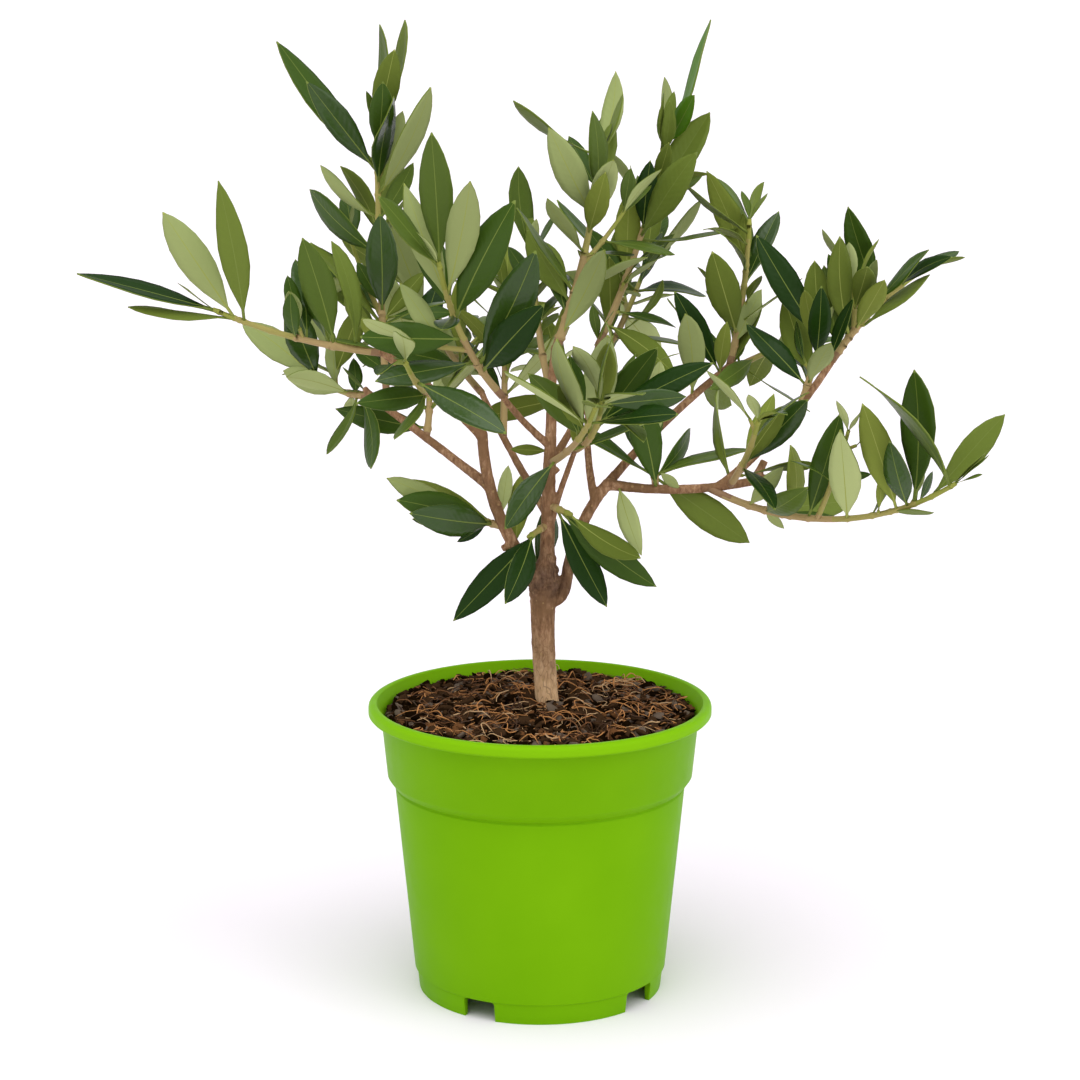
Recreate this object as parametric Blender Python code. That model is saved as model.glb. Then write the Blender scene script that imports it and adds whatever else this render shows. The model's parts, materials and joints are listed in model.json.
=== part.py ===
"""A young olive tree in a round nursery pot, as one part with no joints.

Each limb is one arc, given by a heading, a rise and a length. The foliage is
one mass for each leafy shoot: a stem, its side twigs and pairs of leaves that
are set by a seeded rule and fused together. Sizes are in millimetres.
"""
import math
import random
from collections import namedtuple

import bmesh
import bpy
from mathutils import Matrix, Vector
from mathutils.bvhtree import BVHTree

MM = 0.001
GAP = 0.3  # clear space between two pieces that meet

# The pot: a thin moulded wall with a wide band under a rounded lip.
POT_HEIGHT = 120.7
POT_SIDES = 48
WALL = 1.2
LIP_RADIUS = 70.0
LIP_HEIGHT = 4.9
LIP_INSIDE = 66.3
LIP_ROUND = 1.5
BAND_TOP_RADIUS = 64.9
BAND_FOOT_RADIUS = 62.4
BAND_FOOT_Z = 90.6
BODY_TOP_RADIUS = 59.4
BODY_TOP_Z = 86.6
BODY_FOOT_RADIUS = 51.9
FOOT_HEIGHT = 8.5
FOOT_TOP_RADIUS = 51.0
FOOT_RADIUS = 50.1
FOOT_WALL = 2.0
NOTCH_HEIGHT = 8.2
# each notch: the angle of its middle from the front, and its width, in degrees
NOTCHES = ((-29.0, 16.0), (53.0, 19.0), (151.0, 16.0), (233.0, 19.0))

# The compost, mounded a little towards the trunk.
SOIL_SIDES = 36
SOIL_EDGE_Z = 115.4
SOIL_MOUND_Z = 118.0
SOIL_MOUND_RADIUS = 16.0
SOIL_CLEAR = 0.45

# The trunk: height above the soil, lean to the right, lean away, radius.
TRUNK = (
    (0.0, 3.0, 0.0, 6.4),
    (3.0, 2.8, 0.0, 5.2),
    (10.0, 2.3, 0.0, 4.8),
    (28.0, 1.3, 0.0, 4.9),
    (44.0, 1.2, 0.0, 5.3),
    (52.0, 1.7, -0.5, 6.3),
    (58.0, 2.4, -1.0, 5.0),
    (65.0, 2.9, -1.3, 3.1),
    (94.0, 3.6, -2.0, 2.7),
    (114.0, 4.4, 0.0, 2.3),
    (132.0, 4.8, 3.0, 1.9),
    (147.0, 6.2, 8.0, 1.7),
)
TRUNK_SIDES = 12

# Headings turn from the right (0) to the back (90); rises are from the level.
# A limb's way turns and climbs by the given angles from its base to its tip.
Limb = namedtuple("Limb", "name parent at length heading rise turn climb base tip")
BOUGH_SIDES = 7
BOUGH_RINGS = 6
PATH_STEPS = 24
BOUGHS = (
    Limb("bough_left", "trunk", 51, 70, 195, 47, 16, 41, 2.7, 2.2),
    Limb("bough_left_arm", "bough_left", 69, 56, 197, 46, 5, -11, 2.0, 1.6),
    Limb("bough_left_low", "bough_left", 48, 70, 145, 28, 0, -1, 1.9, 1.5),
    Limb("bough_left_inner", "trunk", 108, 37, 222, 35, 4, 13, 1.6, 1.2),
    Limb("bough_right_elbow", "trunk", 44, 10, 0, -15, 0, 40, 2.8, 2.6),
    Limb("bough_right", "bough_right_elbow", 9, 52, 8, 90, 12, -42, 2.5, 2.2),
    Limb("bough_right_arm", "bough_right", 51, 67, 353, -8, -2, 24, 2.0, 1.7),
    Limb("bough_right_upper", "bough_right", 47, 79, 35, 42, -12, -9, 1.9, 1.5),
    Limb("bough_right_back", "bough_right", 43, 67, 117, 60, -66, 11, 1.6, 1.2),
    Limb("bough_right_limb", "bough_right_arm", 46, 70, 7, 39, 18, 15, 1.8, 1.5),
    Limb("bough_middle", "trunk", 60, 52, 3, 88, -70, -33, 1.5, 1.1),
    Limb("bough_back_left", "trunk", 80, 62, 125, 38, 15, 20, 1.8, 1.3),
    Limb("bough_back_right", "trunk", 100, 56, 62, 30, -10, 25, 1.7, 1.2),
)

# A shoot: as a limb, with its pairs of leaves, their length, the turn of the
# first pair round the stem, the side twigs, and the seed of its variation.
Shoot = namedtuple("Shoot", "name limb pairs leaf roll twigs seed")
STEM_SIDES = 4
STEM_RINGS = 6
STEM_TIP = 0.65
STEM_FIRST = 0.3  # where the lowest pair stands, as a part of the stem
TWIG_SIDES = 3
TWIG_RINGS = 3
TWIG_BASE = 0.85
TWIG_TIP = 0.55
TWIG_CLIMB = 12
TWIG_PAIRS = 2
TWIG_LEAF = 0.85  # the length of its leaves, as a part of the stem's
TWIG_FIRST = 0.45
TWIG_CLEAR = 1.4  # the radius of the clear space kept round a twig
TWIG_ROOT = 4  # steps of its path that lie too near the stem to be tested


def shoot(name, parent, at, length, heading, rise, turn, climb, pairs, leaf,
          roll, twigs, seed, base=1.15):
    """One leafy shoot on its parent limb."""
    limb = Limb(name, parent, at, length, heading, rise, turn, climb, base, STEM_TIP)
    return Shoot(name, limb, pairs, leaf, roll, twigs, seed)


SHOOTS = (
    shoot("foliage_top", "trunk", 146, 82, 25, 67, -1, 18, 3, 41, 80, 1, 314, 1.4),
    shoot("foliage_left_tall", "bough_left_low", 58, 114, 216, 86, 42, 3, 3, 41, 30, 1, 666),
    shoot("foliage_left_reach", "bough_left_arm", 54, 68, 185, 6, 6, 19, 3, 38, 80, 0, 126),
    shoot("foliage_left_low", "bough_left_low", 68, 35, 142, -6, -3, 31, 2, 35, 10, 1, 1570),
    shoot("foliage_left_inner", "bough_left_inner", 35, 72, 228, 40, 22, 24, 3, 41, 70, 1, 640),
    shoot("foliage_front", "trunk", 101, 84, 288, 18, -10, 14, 4, 43, 50, 0, 518),
    shoot("foliage_middle", "bough_middle", 51, 62, 286, 16, -12, 22, 3, 48, 0, 1, 384, 1.0),
    shoot("foliage_right_back", "bough_right_back", 65, 95, 48, 53, -7, 22, 3, 30, 20, 0, 652),
    shoot("foliage_right_up", "bough_right_upper", 77, 62, 57, 62, 13, 21, 3, 35, 60, 0, 868),
    shoot("foliage_right_end", "bough_right_upper", 68, 46, 27, 23, 16, -14, 3, 39, 80, 0, 202),
    shoot("foliage_right_tip", "bough_right_limb", 68, 54, 27, 52, -6, -24, 3, 39, 0, 1, 592),
    shoot("foliage_right_fill", "bough_right_limb", 46, 30, 40, 62, 0, 10, 2, 43, 0, 0, 410),
    shoot("foliage_right_reach", "bough_right_arm", 41, 112, 332, -22, -7, 57, 3, 24, 30, 1, 340),
    shoot("foliage_right_near", "bough_right_arm", 50, 64, 282, 30, -10, 6, 3, 39, 20, 0, 735),
    shoot("foliage_right_inner", "bough_right_arm", 20, 18, 100, 62, 0, 10, 2, 46, 80, 0, 327),
    shoot("foliage_low_left", "trunk", 76, 14, 235, -12, 0, 0, 1, 46, 80, 0, 1049),
    shoot("foliage_low_right", "trunk", 84, 14, 312, -8, 0, 0, 1, 50, 70, 0, 698),
    shoot("foliage_left_skirt", "bough_left", 30, 16, 180, 14, 0, 10, 1, 45, 20, 0, 1430),
    shoot("foliage_left_hang", "bough_left_arm", 26, 70, 262, 6, 0, 25, 3, 44, 70, 0, 670),
    shoot("foliage_left_back", "bough_left_low", 36, 46, 80, 40, 30, 10, 3, 50, 40, 0, 271),
    shoot("foliage_back_left", "bough_back_left", 61, 68, 118, 20, 14, 30, 4, 44, 10, 1, 84),
    shoot("foliage_back_middle", "bough_back_left", 40, 60, 88, 58, 0, 15, 4, 35, 40, 0, 360),
    shoot("foliage_back_right", "bough_back_right", 55, 62, 72, 22, -10, 26, 4, 47, 70, 1, 729),
    shoot("foliage_back_low", "bough_back_right", 34, 52, 104, 0, 0, 20, 3, 39, 70, 0, 197),
    shoot("foliage_back_top", "trunk", 128, 62, 110, 48, -10, 30, 4, 32, 20, 0, 468),
)

# Leaves that give the crown its outline, by shoot: the distance along the
# stem, the heading and rise, the length, and the turn of the upper side from
# the front. The seeded pairs fill the rest.
SEEN = {
    "foliage_top": (
        (10, 118, 45, 37, -10), (10, 300, 48, 42, 165), (20, 126, 44, 40, -25),
        (41, 227, 41, 43, -25), (58, 231, 51, 43, -25), (65, 263, 54, 37, 70),
        (82, 74, 51, 40, -25), (82, 200, 30, 42, -70),
    ),
    "foliage_left_tall": (
        (43, 105, 50, 38, 10), (43, 132, 35, 40, 25), (66, 142, 32, 42, -10),
        (71, 123, 43, 40, -25), (76, 148, 43, 42, -25), (90, 330, 57, 49, 200),
        (100, 156, 48, 66, 10), (100, 205, 50, 47, 25), (109, 276, 54, 29, 25),
        (114, 55, 70, 48, -70), (114, 88, 74, 42, -70),
    ),
    "foliage_left_reach": (
        (20, 226, 68, 46, 70), (31, 256, 54, 25, 10), (54, 244, 72, 59, -25),
        (57, 197, 8, 45, -70), (62, 211, 58, 48, 150), (68, 198, 22, 60, 70),
    ),
    "foliage_left_low": (
        (4, 272, -51, 38, 70), (7, 96, 50, 20, -10), (9, 238, -39, 36, 25),
        (15, 143, 13, 33, -10), (19, 112, 47, 21, 10), (31, 268, 55, 40, 10),
        (32, 147, 24, 43, 200),
    ),
    "foliage_left_inner": (
        (18, 317, 39, 44, 10), (21, 326, 61, 51, -10), (36, 220, 22, 36, -25),
        (48, 226, 68, 45, 200), (48, 328, 59, 53, 25), (60, 306, 71, 51, 165),
        (72, 259, 74, 51, -10),
    ),
    "foliage_front": (
        (60, 233, 45, 24, 165), (66, 224, 67, 48, 10),
    ),
    "foliage_middle": (
        (23, 283, 55, 44, -25), (25, 334, 52, 43, 10),
    ),
    "foliage_right_back": (
        (36, 85, 51, 34, 165), (63, 111, 48, 25, -70), (67, 26, 51, 46, 25),
        (91, 37, 63, 55, -70), (91, 91, 52, 34, 165),
    ),
    "foliage_right_up": (
        (13, 61, 45, 25, -10), (18, 243, 50, 42, 200), (31, 52, 51, 41, -10),
        (46, 136, 58, 41, 25), (59, 60, 45, 26, 70),
    ),
    "foliage_right_tip": (
        (7, 35, 61, 47, -70), (7, 109, 47, 32, 70), (16, 248, 63, 44, 10),
        (32, 220, 65, 44, 10), (47, 316, 26, 25, -70),
    ),
    "foliage_right_fill": (
        (4, 130, 33, 34, -10), (12, 112, 46, 36, 165), (29, 150, 55, 49, 10),
    ),
    "foliage_right_reach": (
        (19, 310, 41, 27, -25), (28, 46, -41, 14, -25), (37, 268, 56, 40, 25),
        (42, 310, 70, 44, -10), (61, 247, 73, 50, -10), (84, 219, 65, 47, 165),
        (84, 320, 1, 18, 10), (93, 249, 74, 56, -10), (93, 252, 55, 33, 25),
        (103, 24, 47, 44, 25), (112, 202, 47, 59, -70),
    ),
    "foliage_right_near": (
        (24, 47, 33, 29, 150), (24, 311, 38, 39, -10),
    ),
    "foliage_right_inner": (
        (4, 54, 38, 31, 10), (4, 341, -30, 43, -10), (4, 123, 70, 41, 25),
    ),
    "foliage_low_left": (
        (4, 202, -40, 51, 10), (14, 246, -43, 33, -25),
    ),
    "foliage_low_right": (
        (6, 339, -35, 50, 25), (9, 327, -58, 41, -10), (14, 317, -19, 37, 150),
    ),
    "foliage_left_skirt": (
        (4, 209, 16, 42, 25), (7, 197, 17, 44, 25), (11, 222, -18, 15, -25),
        (15, 214, 24, 42, -70),
    ),
    "foliage_left_hang": (
        (9, 219, -2, 36, 25),
    ),
    "foliage_left_back": (
        (6, 155, 9, 43, 25),
    ),
}

# A leaf: a short stalk and a long oval blade, thickest along its middle.
LEAF_WIDTH = 0.31  # of its length
LEAF_WIDEST = 15.5
LEAF_THICK = 0.8
STALK = 0.12  # of its length
# stations along the leaf: part of its length, part of its width and thickness
LEAF_STATIONS = ((0.0, 0.07, 0.9), (STALK, 0.09, 1.0), (0.42, 1.0, 1.0), (0.74, 0.78, 0.9))
LEAF_CLEAR = 0.5  # clear space kept round every blade
FIRST_LEAF = 5.0  # from the limb that bears the stem to the first leaf
LAST_LEAF = 2.5  # from the tip of the stem back to its last pair
FRONT = Vector((0.3, -0.9, 0.3)).normalized()
# a leaf that meets another is tried again, turned this far to or from the front
NUDGES = (0, 14, -14, 28, -28)
UP = Vector((0.0, 0.0, 1.0))
BROAD = Vector((0.0, -1.0, 0.0))  # the way that an unturned outline leaf faces

COLOURS = {
    "pot": ((0.19, 0.47, 0.004), 0.38),
    "soil": ((0.055, 0.030, 0.016), 0.95),
    "wood": ((0.24, 0.185, 0.145), 0.85),
    "leaf": ((0.055, 0.085, 0.016), 0.45),
}


def clear_scene():
    for item in list(bpy.data.objects):
        bpy.data.objects.remove(item, do_unlink=True)


def material(name):
    """The named piece's own Principled material."""
    colour, roughness = COLOURS[name]
    made = bpy.data.materials.new(name)
    made.use_nodes = True
    shader = made.node_tree.nodes["Principled BSDF"]
    shader.inputs["Base Color"].default_value = (*colour, 1.0)
    shader.inputs["Roughness"].default_value = roughness
    shader.inputs["Metallic"].default_value = 0.0
    return made


def object_from(name, mesh_maker, finish, smooth=True):
    """An object whose mesh is the bmesh made in millimetres."""
    bmesh.ops.recalc_face_normals(mesh_maker, faces=mesh_maker.faces)
    bmesh.ops.scale(mesh_maker, vec=(MM, MM, MM), verts=mesh_maker.verts)
    mesh = bpy.data.meshes.new(name)
    mesh_maker.to_mesh(mesh)
    mesh_maker.free()
    if smooth:
        mesh.shade_smooth()
        mesh.set_sharp_from_angle(angle=math.radians(40))
    made = bpy.data.objects.new(name, mesh)
    bpy.context.scene.collection.objects.link(made)
    if finish:
        mesh.materials.append(finish)
    return made


# ---- turned pieces -------------------------------------------------------

def turned(name, profile, sides, finish):
    """A closed solid of revolution from a closed or axis-to-axis profile."""
    form = bmesh.new()
    rings = []
    for radius, height in profile:
        if radius < 1e-6:
            rings.append([form.verts.new((0.0, 0.0, height))])
            continue
        turn = [math.tau * i / sides for i in range(sides)]
        rings.append([form.verts.new((radius * math.cos(a), radius * math.sin(a), height))
                      for a in turn])
    pairs = list(zip(rings, rings[1:]))
    if len(rings[0]) > 1:
        pairs.append((rings[-1], rings[0]))
    for low, high in pairs:
        for i in range(sides):
            j = (i + 1) % sides
            corners = [low[i % len(low)], low[j % len(low)],
                       high[j % len(high)], high[i % len(high)]]
            form.faces.new(list(dict.fromkeys(corners)))
    return object_from(name, form, finish)


def rounded(centre, radius, first, last, steps=3):
    """Points of an arc in a profile, from one angle to the other."""
    across, height = centre
    turn = [math.radians(first + (last - first) * i / steps) for i in range(steps + 1)]
    return [(across + radius * math.cos(a), height + radius * math.sin(a)) for a in turn]


def inside_radius(height):
    """The pot's inner wall at a height above its floor."""
    steps = (
        (FOOT_HEIGHT, BODY_FOOT_RADIUS),
        (BODY_TOP_Z, BODY_TOP_RADIUS),
        (BAND_FOOT_Z, BAND_FOOT_RADIUS),
        (POT_HEIGHT - LIP_HEIGHT, BAND_TOP_RADIUS),
    )
    for (low, first), (high, last) in zip(steps, steps[1:]):
        if height <= high:
            return first + (last - first) * (height - low) / (high - low) - WALL
    return BAND_TOP_RADIUS - WALL


def pot_profile():
    lip_foot = POT_HEIGHT - LIP_HEIGHT
    outer = [
        (FOOT_RADIUS - 0.6, 0.0),
        (FOOT_RADIUS, 0.6),
        (FOOT_TOP_RADIUS, FOOT_HEIGHT - 0.3),
        (BODY_FOOT_RADIUS, FOOT_HEIGHT + 0.3),
        (BODY_TOP_RADIUS, BODY_TOP_Z),
        (BODY_TOP_RADIUS + 0.9, BODY_TOP_Z + 0.6),
        (BAND_FOOT_RADIUS - 0.5, BAND_FOOT_Z - 0.8),
        (BAND_FOOT_RADIUS, BAND_FOOT_Z),
        (BAND_TOP_RADIUS, lip_foot),
        (LIP_RADIUS - 0.5, lip_foot),
        (LIP_RADIUS, lip_foot + 0.5),
    ]
    outer += rounded((LIP_RADIUS - LIP_ROUND, POT_HEIGHT - LIP_ROUND), LIP_ROUND, 0, 90)
    inner = [
        (LIP_INSIDE + 0.6, POT_HEIGHT),
        (LIP_INSIDE, POT_HEIGHT - 0.5),
        (inside_radius(lip_foot - 0.5) + 0.6, lip_foot + 0.9),
        (inside_radius(lip_foot - 0.6), lip_foot - 0.6),
        (inside_radius(BAND_FOOT_Z), BAND_FOOT_Z),
        (inside_radius(BODY_TOP_Z), BODY_TOP_Z),
        (inside_radius(FOOT_HEIGHT + WALL), FOOT_HEIGHT + WALL),
        (0.0, FOOT_HEIGHT + WALL),
    ]
    under = [
        (0.0, FOOT_HEIGHT),
        (FOOT_RADIUS - FOOT_WALL, FOOT_HEIGHT),
        (FOOT_RADIUS - FOOT_WALL, 0.0),
    ]
    return under + outer + inner


def build_pot():
    pot = turned("pot", pot_profile(), POT_SIDES, material("pot"))
    for index, (middle, width) in enumerate(NOTCHES):
        cutter = notch_cutter(f"notch_{index}", math.radians(middle - 90), math.radians(width))
        cut(pot, cutter)
    return pot


def notch_cutter(name, middle, width):
    """A wedge that opens the foot ring between two feet."""
    form = bmesh.new()
    near, far = FOOT_RADIUS - FOOT_WALL - 2.0, FOOT_TOP_RADIUS + 3.0
    corners = [(near, -0.5), (far, -0.5), (far, 0.5), (near, 0.5)]
    flat = [(r * math.cos(middle + s * width), r * math.sin(middle + s * width))
            for r, s in corners]
    low = [form.verts.new((x, y, -1.0)) for x, y in flat]
    high = [form.verts.new((x, y, NOTCH_HEIGHT)) for x, y in flat]
    form.faces.new(low)
    form.faces.new(high)
    for i in range(4):
        j = (i + 1) % 4
        form.faces.new((low[i], low[j], high[j], high[i]))
    return object_from(name, form, None, smooth=False)


def build_soil():
    floor = FOOT_HEIGHT + WALL + GAP
    levels = (floor, BODY_TOP_Z, BAND_FOOT_Z, SOIL_EDGE_Z)
    side = [(inside_radius(z) - SOIL_CLEAR, z) for z in levels]
    top = [
        (SOIL_MOUND_RADIUS * 2.6, SOIL_EDGE_Z + 1.2),
        (SOIL_MOUND_RADIUS, SOIL_MOUND_Z),
        (0.0, SOIL_MOUND_Z),
    ]
    return turned("soil", [(0.0, floor)] + side + top, SOIL_SIDES, material("soil"))


# ---- Booleans ------------------------------------------------------------

def apply_modifiers(target):
    """Put the object's evaluated mesh in place of its own."""
    graph = bpy.context.evaluated_depsgraph_get()
    made = bpy.data.meshes.new_from_object(target.evaluated_get(graph))
    target.modifiers.clear()
    target.data = made


def cut(target, cutter):
    """Take the cutter's space out of the target, and remove the cutter."""
    cutter.hide_render = True
    cutter.display_type = "WIRE"
    step = target.modifiers.new("cut", "BOOLEAN")
    step.operation = "DIFFERENCE"
    step.solver = "EXACT"
    step.object = cutter
    apply_modifiers(target)
    bpy.data.objects.remove(cutter, do_unlink=True)


def fuse(target, pieces):
    """Join the pieces to the target with one union on their collection."""
    group = bpy.data.collections.new("to_fuse")
    bpy.context.scene.collection.children.link(group)
    for piece in pieces:
        bpy.context.scene.collection.objects.unlink(piece)
        group.objects.link(piece)
    step = target.modifiers.new("fuse", "BOOLEAN")
    step.operation = "UNION"
    step.solver = "EXACT"
    step.operand_type = "COLLECTION"
    step.collection = group
    apply_modifiers(target)
    for piece in pieces:
        bpy.data.objects.remove(piece, do_unlink=True)
    bpy.data.collections.remove(group)


def parts_of(form):
    """The form's bodies: sets of faces that share plain two-sided edges."""
    left = set(form.faces)
    bodies = []
    while left:
        rim = [left.pop()]
        body = set(rim)
        while rim:
            for edge in rim.pop().edges:
                if len(edge.link_faces) != 2:
                    continue
                for face in edge.link_faces:
                    if face in left:
                        left.remove(face)
                        body.add(face)
                        rim.append(face)
        bodies.append(body)
    return sorted(bodies, key=len)


def keep_largest(target):
    """Drop loose scraps and the skins of sealed hollows, which leaves one body."""
    form = bmesh.new()
    form.from_mesh(target.data)
    scraps = [face for body in parts_of(form)[:-1] for face in body]
    bmesh.ops.delete(form, geom=scraps, context="FACES")
    form.to_mesh(target.data)
    form.free()


def tree_of(item):
    """The object's faces, to test what meets them."""
    corners = [tuple(v.co) for v in item.data.vertices]
    faces = [tuple(p.vertices) for p in item.data.polygons]
    return BVHTree.FromPolygons(corners, faces)


# ---- limbs ---------------------------------------------------------------

def heading_way(heading, rise):
    """The way that points to a heading, raised from the level, both in degrees."""
    heading, rise = math.radians(heading), math.radians(rise)
    level = math.cos(rise)
    return Vector((level * math.cos(heading), level * math.sin(heading), math.sin(rise)))


def limb_path(limb, start):
    """Points along the limb, one for each step."""
    points = [start]
    for i in range(PATH_STEPS):
        part = (i + 0.5) / PATH_STEPS
        way = heading_way(limb.heading + limb.turn * part, limb.rise + limb.climb * part)
        points.append(points[-1] + way * (limb.length / PATH_STEPS))
    return points


def trunk_path():
    return [Vector((right, away, SOIL_MOUND_Z + GAP + z)) for z, right, away, _ in TRUNK]


def point_at(points, distance):
    """The point that lies a distance along the path, and the way there."""
    for first, second in zip(points, points[1:]):
        span = (second - first).length
        if distance <= span:
            return first.lerp(second, distance / span), (second - first).normalized()
        distance -= span
    return points[-1].copy(), (points[-1] - points[-2]).normalized()


def tube(points, radii, sides, extra=0.0):
    """A closed tube along the points, thicker by the extra all over."""
    form = bmesh.new()
    ways = [(b - a).normalized() for a, b in zip(points, points[1:])]
    tangents = [ways[0]] + [(a + b).normalized() for a, b in zip(ways, ways[1:])] + [ways[-1]]
    across = ways[0].cross(FRONT).normalized()
    rings = []
    for index, (point, tangent, radius) in enumerate(zip(points, tangents, radii)):
        across = (across - tangent * across.dot(tangent)).normalized()
        other = tangent.cross(across)
        centre = point.copy()
        if index == 0:
            centre -= tangent * extra
        if index == len(points) - 1:
            centre += tangent * extra
        turn = [math.tau * i / sides for i in range(sides)]
        rings.append([form.verts.new(centre + (across * math.cos(a) + other * math.sin(a))
                                     * (radius + extra)) for a in turn])
    for low, high in zip(rings, rings[1:]):
        for i in range(sides):
            j = (i + 1) % sides
            form.faces.new((low[i], low[j], high[j], high[i]))
    form.faces.new(rings[0])
    form.faces.new(rings[-1])
    return form


def limb_form(limb, points, sides, rings, extra=0.0):
    """The tube of a limb that tapers from its base to its tip."""
    picked = [round(PATH_STEPS * i / rings) for i in range(rings + 1)]
    radii = [limb.base + (limb.tip - limb.base) * i / PATH_STEPS for i in picked]
    return tube([points[i] for i in picked], radii, sides, extra)


def trunk_form(extra=0.0):
    points = trunk_path()
    form = tube(points, [row[3] for row in TRUNK], TRUNK_SIDES, extra)
    if not extra:
        foot = points[0].z
        for vert in form.verts:
            if vert.co.z < foot + 1.0:
                vert.co.z = foot
    return form


def bough_form(limb, points, extra=0.0):
    return limb_form(limb, points, BOUGH_SIDES, BOUGH_RINGS, extra)


class Wood:
    """The trunk and boughs made so far, with their paths and faces."""

    def __init__(self):
        self.paths = {"trunk": trunk_path()}
        self.limbs = {}
        self.trees = {}
        self.finish = material("wood")
        trunk = object_from("trunk", trunk_form(), self.finish)
        self.trees["trunk"] = tree_of(trunk)

    def larger(self, name):
        """The named piece grown by the gap, as a cutter."""
        if name == "trunk":
            form = trunk_form(GAP)
        else:
            form = bough_form(self.limbs[name], self.paths[name], GAP)
        return object_from(name + "_space", form, None, smooth=False)

    def seat(self, item):
        """Cut the piece clear of every limb that it meets."""
        for name in list(self.trees):
            space = self.larger(name)
            if tree_of(item).overlap(tree_of(space)):
                cut(item, space)
            else:
                bpy.data.objects.remove(space, do_unlink=True)
        keep_largest(item)

    def start(self, limb):
        return point_at(self.paths[limb.parent], limb.at)[0]

    def add(self, limb):
        points = limb_path(limb, self.start(limb))
        item = object_from(limb.name, bough_form(limb, points), self.finish)
        self.seat(item)
        self.paths[limb.name] = points
        self.limbs[limb.name] = limb
        self.trees[limb.name] = tree_of(item)


# ---- foliage -------------------------------------------------------------

Leaf = namedtuple("Leaf", "root way face length bend tint")


def radial(along, degrees):
    """A way square to the stem, turned round it from the front."""
    first = (FRONT - along * FRONT.dot(along)).normalized()
    second = along.cross(first)
    angle = math.radians(degrees)
    return first * math.cos(angle) + second * math.sin(angle)


def outline_leaves(plan, points, rng):
    """The shoot's leaves whose place is given one by one."""
    leaves = []
    for at, heading, rise, size, turn in SEEN.get(plan.name, ()):
        root = point_at(points, leaf_place(at, plan.limb.length))[0]
        way = heading_way(heading, rise)
        face = (BROAD - way * BROAD.dot(way)).normalized()
        face = Matrix.Rotation(math.radians(turn), 3, way) @ face
        leaves.append(Leaf(root, way, face, size, rng.uniform(-8, 26), rng.random()))
    return leaves


def leaf_place(at, length):
    """The distance along a stem, kept clear of both its ends."""
    return max(FIRST_LEAF, min(at, length - LAST_LEAF))


def leaf_pairs(points, length, pairs, leaf, first, roll, rng):
    """Pairs of leaves, each pair a quarter turn round the stem from the last."""
    leaves = []
    for index in range(pairs):
        last = index == pairs - 1
        part = first + (1.0 - first) * index / max(1, pairs - 1)
        root, along = point_at(points, leaf_place(length * part, length))
        for side in (0.0, 180.0):
            around = roll + 90.0 * index + side + rng.uniform(-20, 20)
            spread = math.radians(rng.uniform(12, 30) if last else rng.uniform(38, 68))
            size = leaf * rng.uniform(0.80, 1.14) * (0.80 if last else 1.0)
            bend = rng.uniform(-12, 34)
            twist = rng.uniform(-38, 38)
            tint = rng.random()
            way = along * math.cos(spread) + radial(along, around) * math.sin(spread)
            face = along * 0.7 + UP * 0.6
            face = (face - way * face.dot(way)).normalized()
            face = Matrix.Rotation(math.radians(twist), 3, way) @ face
            leaves.append(Leaf(root, way, face, size, bend, tint))
    return leaves


def side_twigs(plan, points, rng):
    """The twigs that leave the stem, as limbs with their starting points."""
    twigs = []
    for index in range(plan.twigs):
        part = 0.2 + 0.5 * (index + rng.random()) / plan.twigs
        start, along = point_at(points, plan.limb.length * part)
        around = plan.roll + rng.uniform(0, 360)
        spread = math.radians(rng.uniform(38, 58))
        length = plan.limb.length * rng.uniform(0.32, 0.48)
        way = along * math.cos(spread) + radial(along, around) * math.sin(spread)
        heading = math.degrees(math.atan2(way.y, way.x))
        rise = math.degrees(math.asin(max(-1.0, min(1.0, way.z))))
        name = f"{plan.name}_twig_{index}"
        twig = Limb(name, plan.name, 0, length, heading, rise, 0, TWIG_CLIMB, TWIG_BASE, TWIG_TIP)
        twigs.append((twig, limb_path(twig, start)))
    return twigs


def nudged(leaf, degrees):
    """The leaf turned to the front or the back round its root."""
    turn = Matrix.Rotation(math.radians(degrees), 3, leaf.way.cross(BROAD).normalized())
    return leaf._replace(way=turn @ leaf.way, face=turn @ leaf.face)


def leaf_points(leaf, part):
    """The middle of the blade at a part of its length, with its face there."""
    turned_by = math.radians(leaf.bend) * part
    half = turned_by / 2.0
    chord = leaf.length * part
    if abs(half) > 1e-6:
        chord *= math.sin(half) / half
    middle = leaf.root + (leaf.way * math.cos(half) - leaf.face * math.sin(half)) * chord
    face = leaf.face * math.cos(turned_by) + leaf.way * math.sin(turned_by)
    return middle, face


def leaf_form(leaf, extra=0.0, stalk=True):
    """The leaf's closed form: four-cornered stations and a tip point."""
    form = bmesh.new()
    side = leaf.way.cross(leaf.face).normalized()
    half_width = min(leaf.length * LEAF_WIDTH, LEAF_WIDEST) / 2.0
    rings = []
    for part, width, thick in LEAF_STATIONS if stalk else LEAF_STATIONS[1:]:
        middle, face = leaf_points(leaf, part)
        reach = half_width * width + extra
        depth = LEAF_THICK / 2.0 * thick + extra
        offsets = (side * reach, face * depth, side * -reach, face * -depth)
        rings.append([form.verts.new(middle + offset) for offset in offsets])
    tip = form.verts.new(leaf_points(leaf, 1.0)[0] + leaf.way * extra)
    form.faces.new(rings[0])
    for i in range(4):
        j = (i + 1) % 4
        form.faces.new((tip, rings[-1][i], rings[-1][j]))
        for low, high in zip(rings, rings[1:]):
            form.faces.new((low[i], low[j], high[j], high[i]))
    return form


def form_tree(form):
    """The faces of a form in millimetres, to test what meets them."""
    tree = BVHTree.FromBMesh(form)
    form.free()
    return tree


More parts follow.
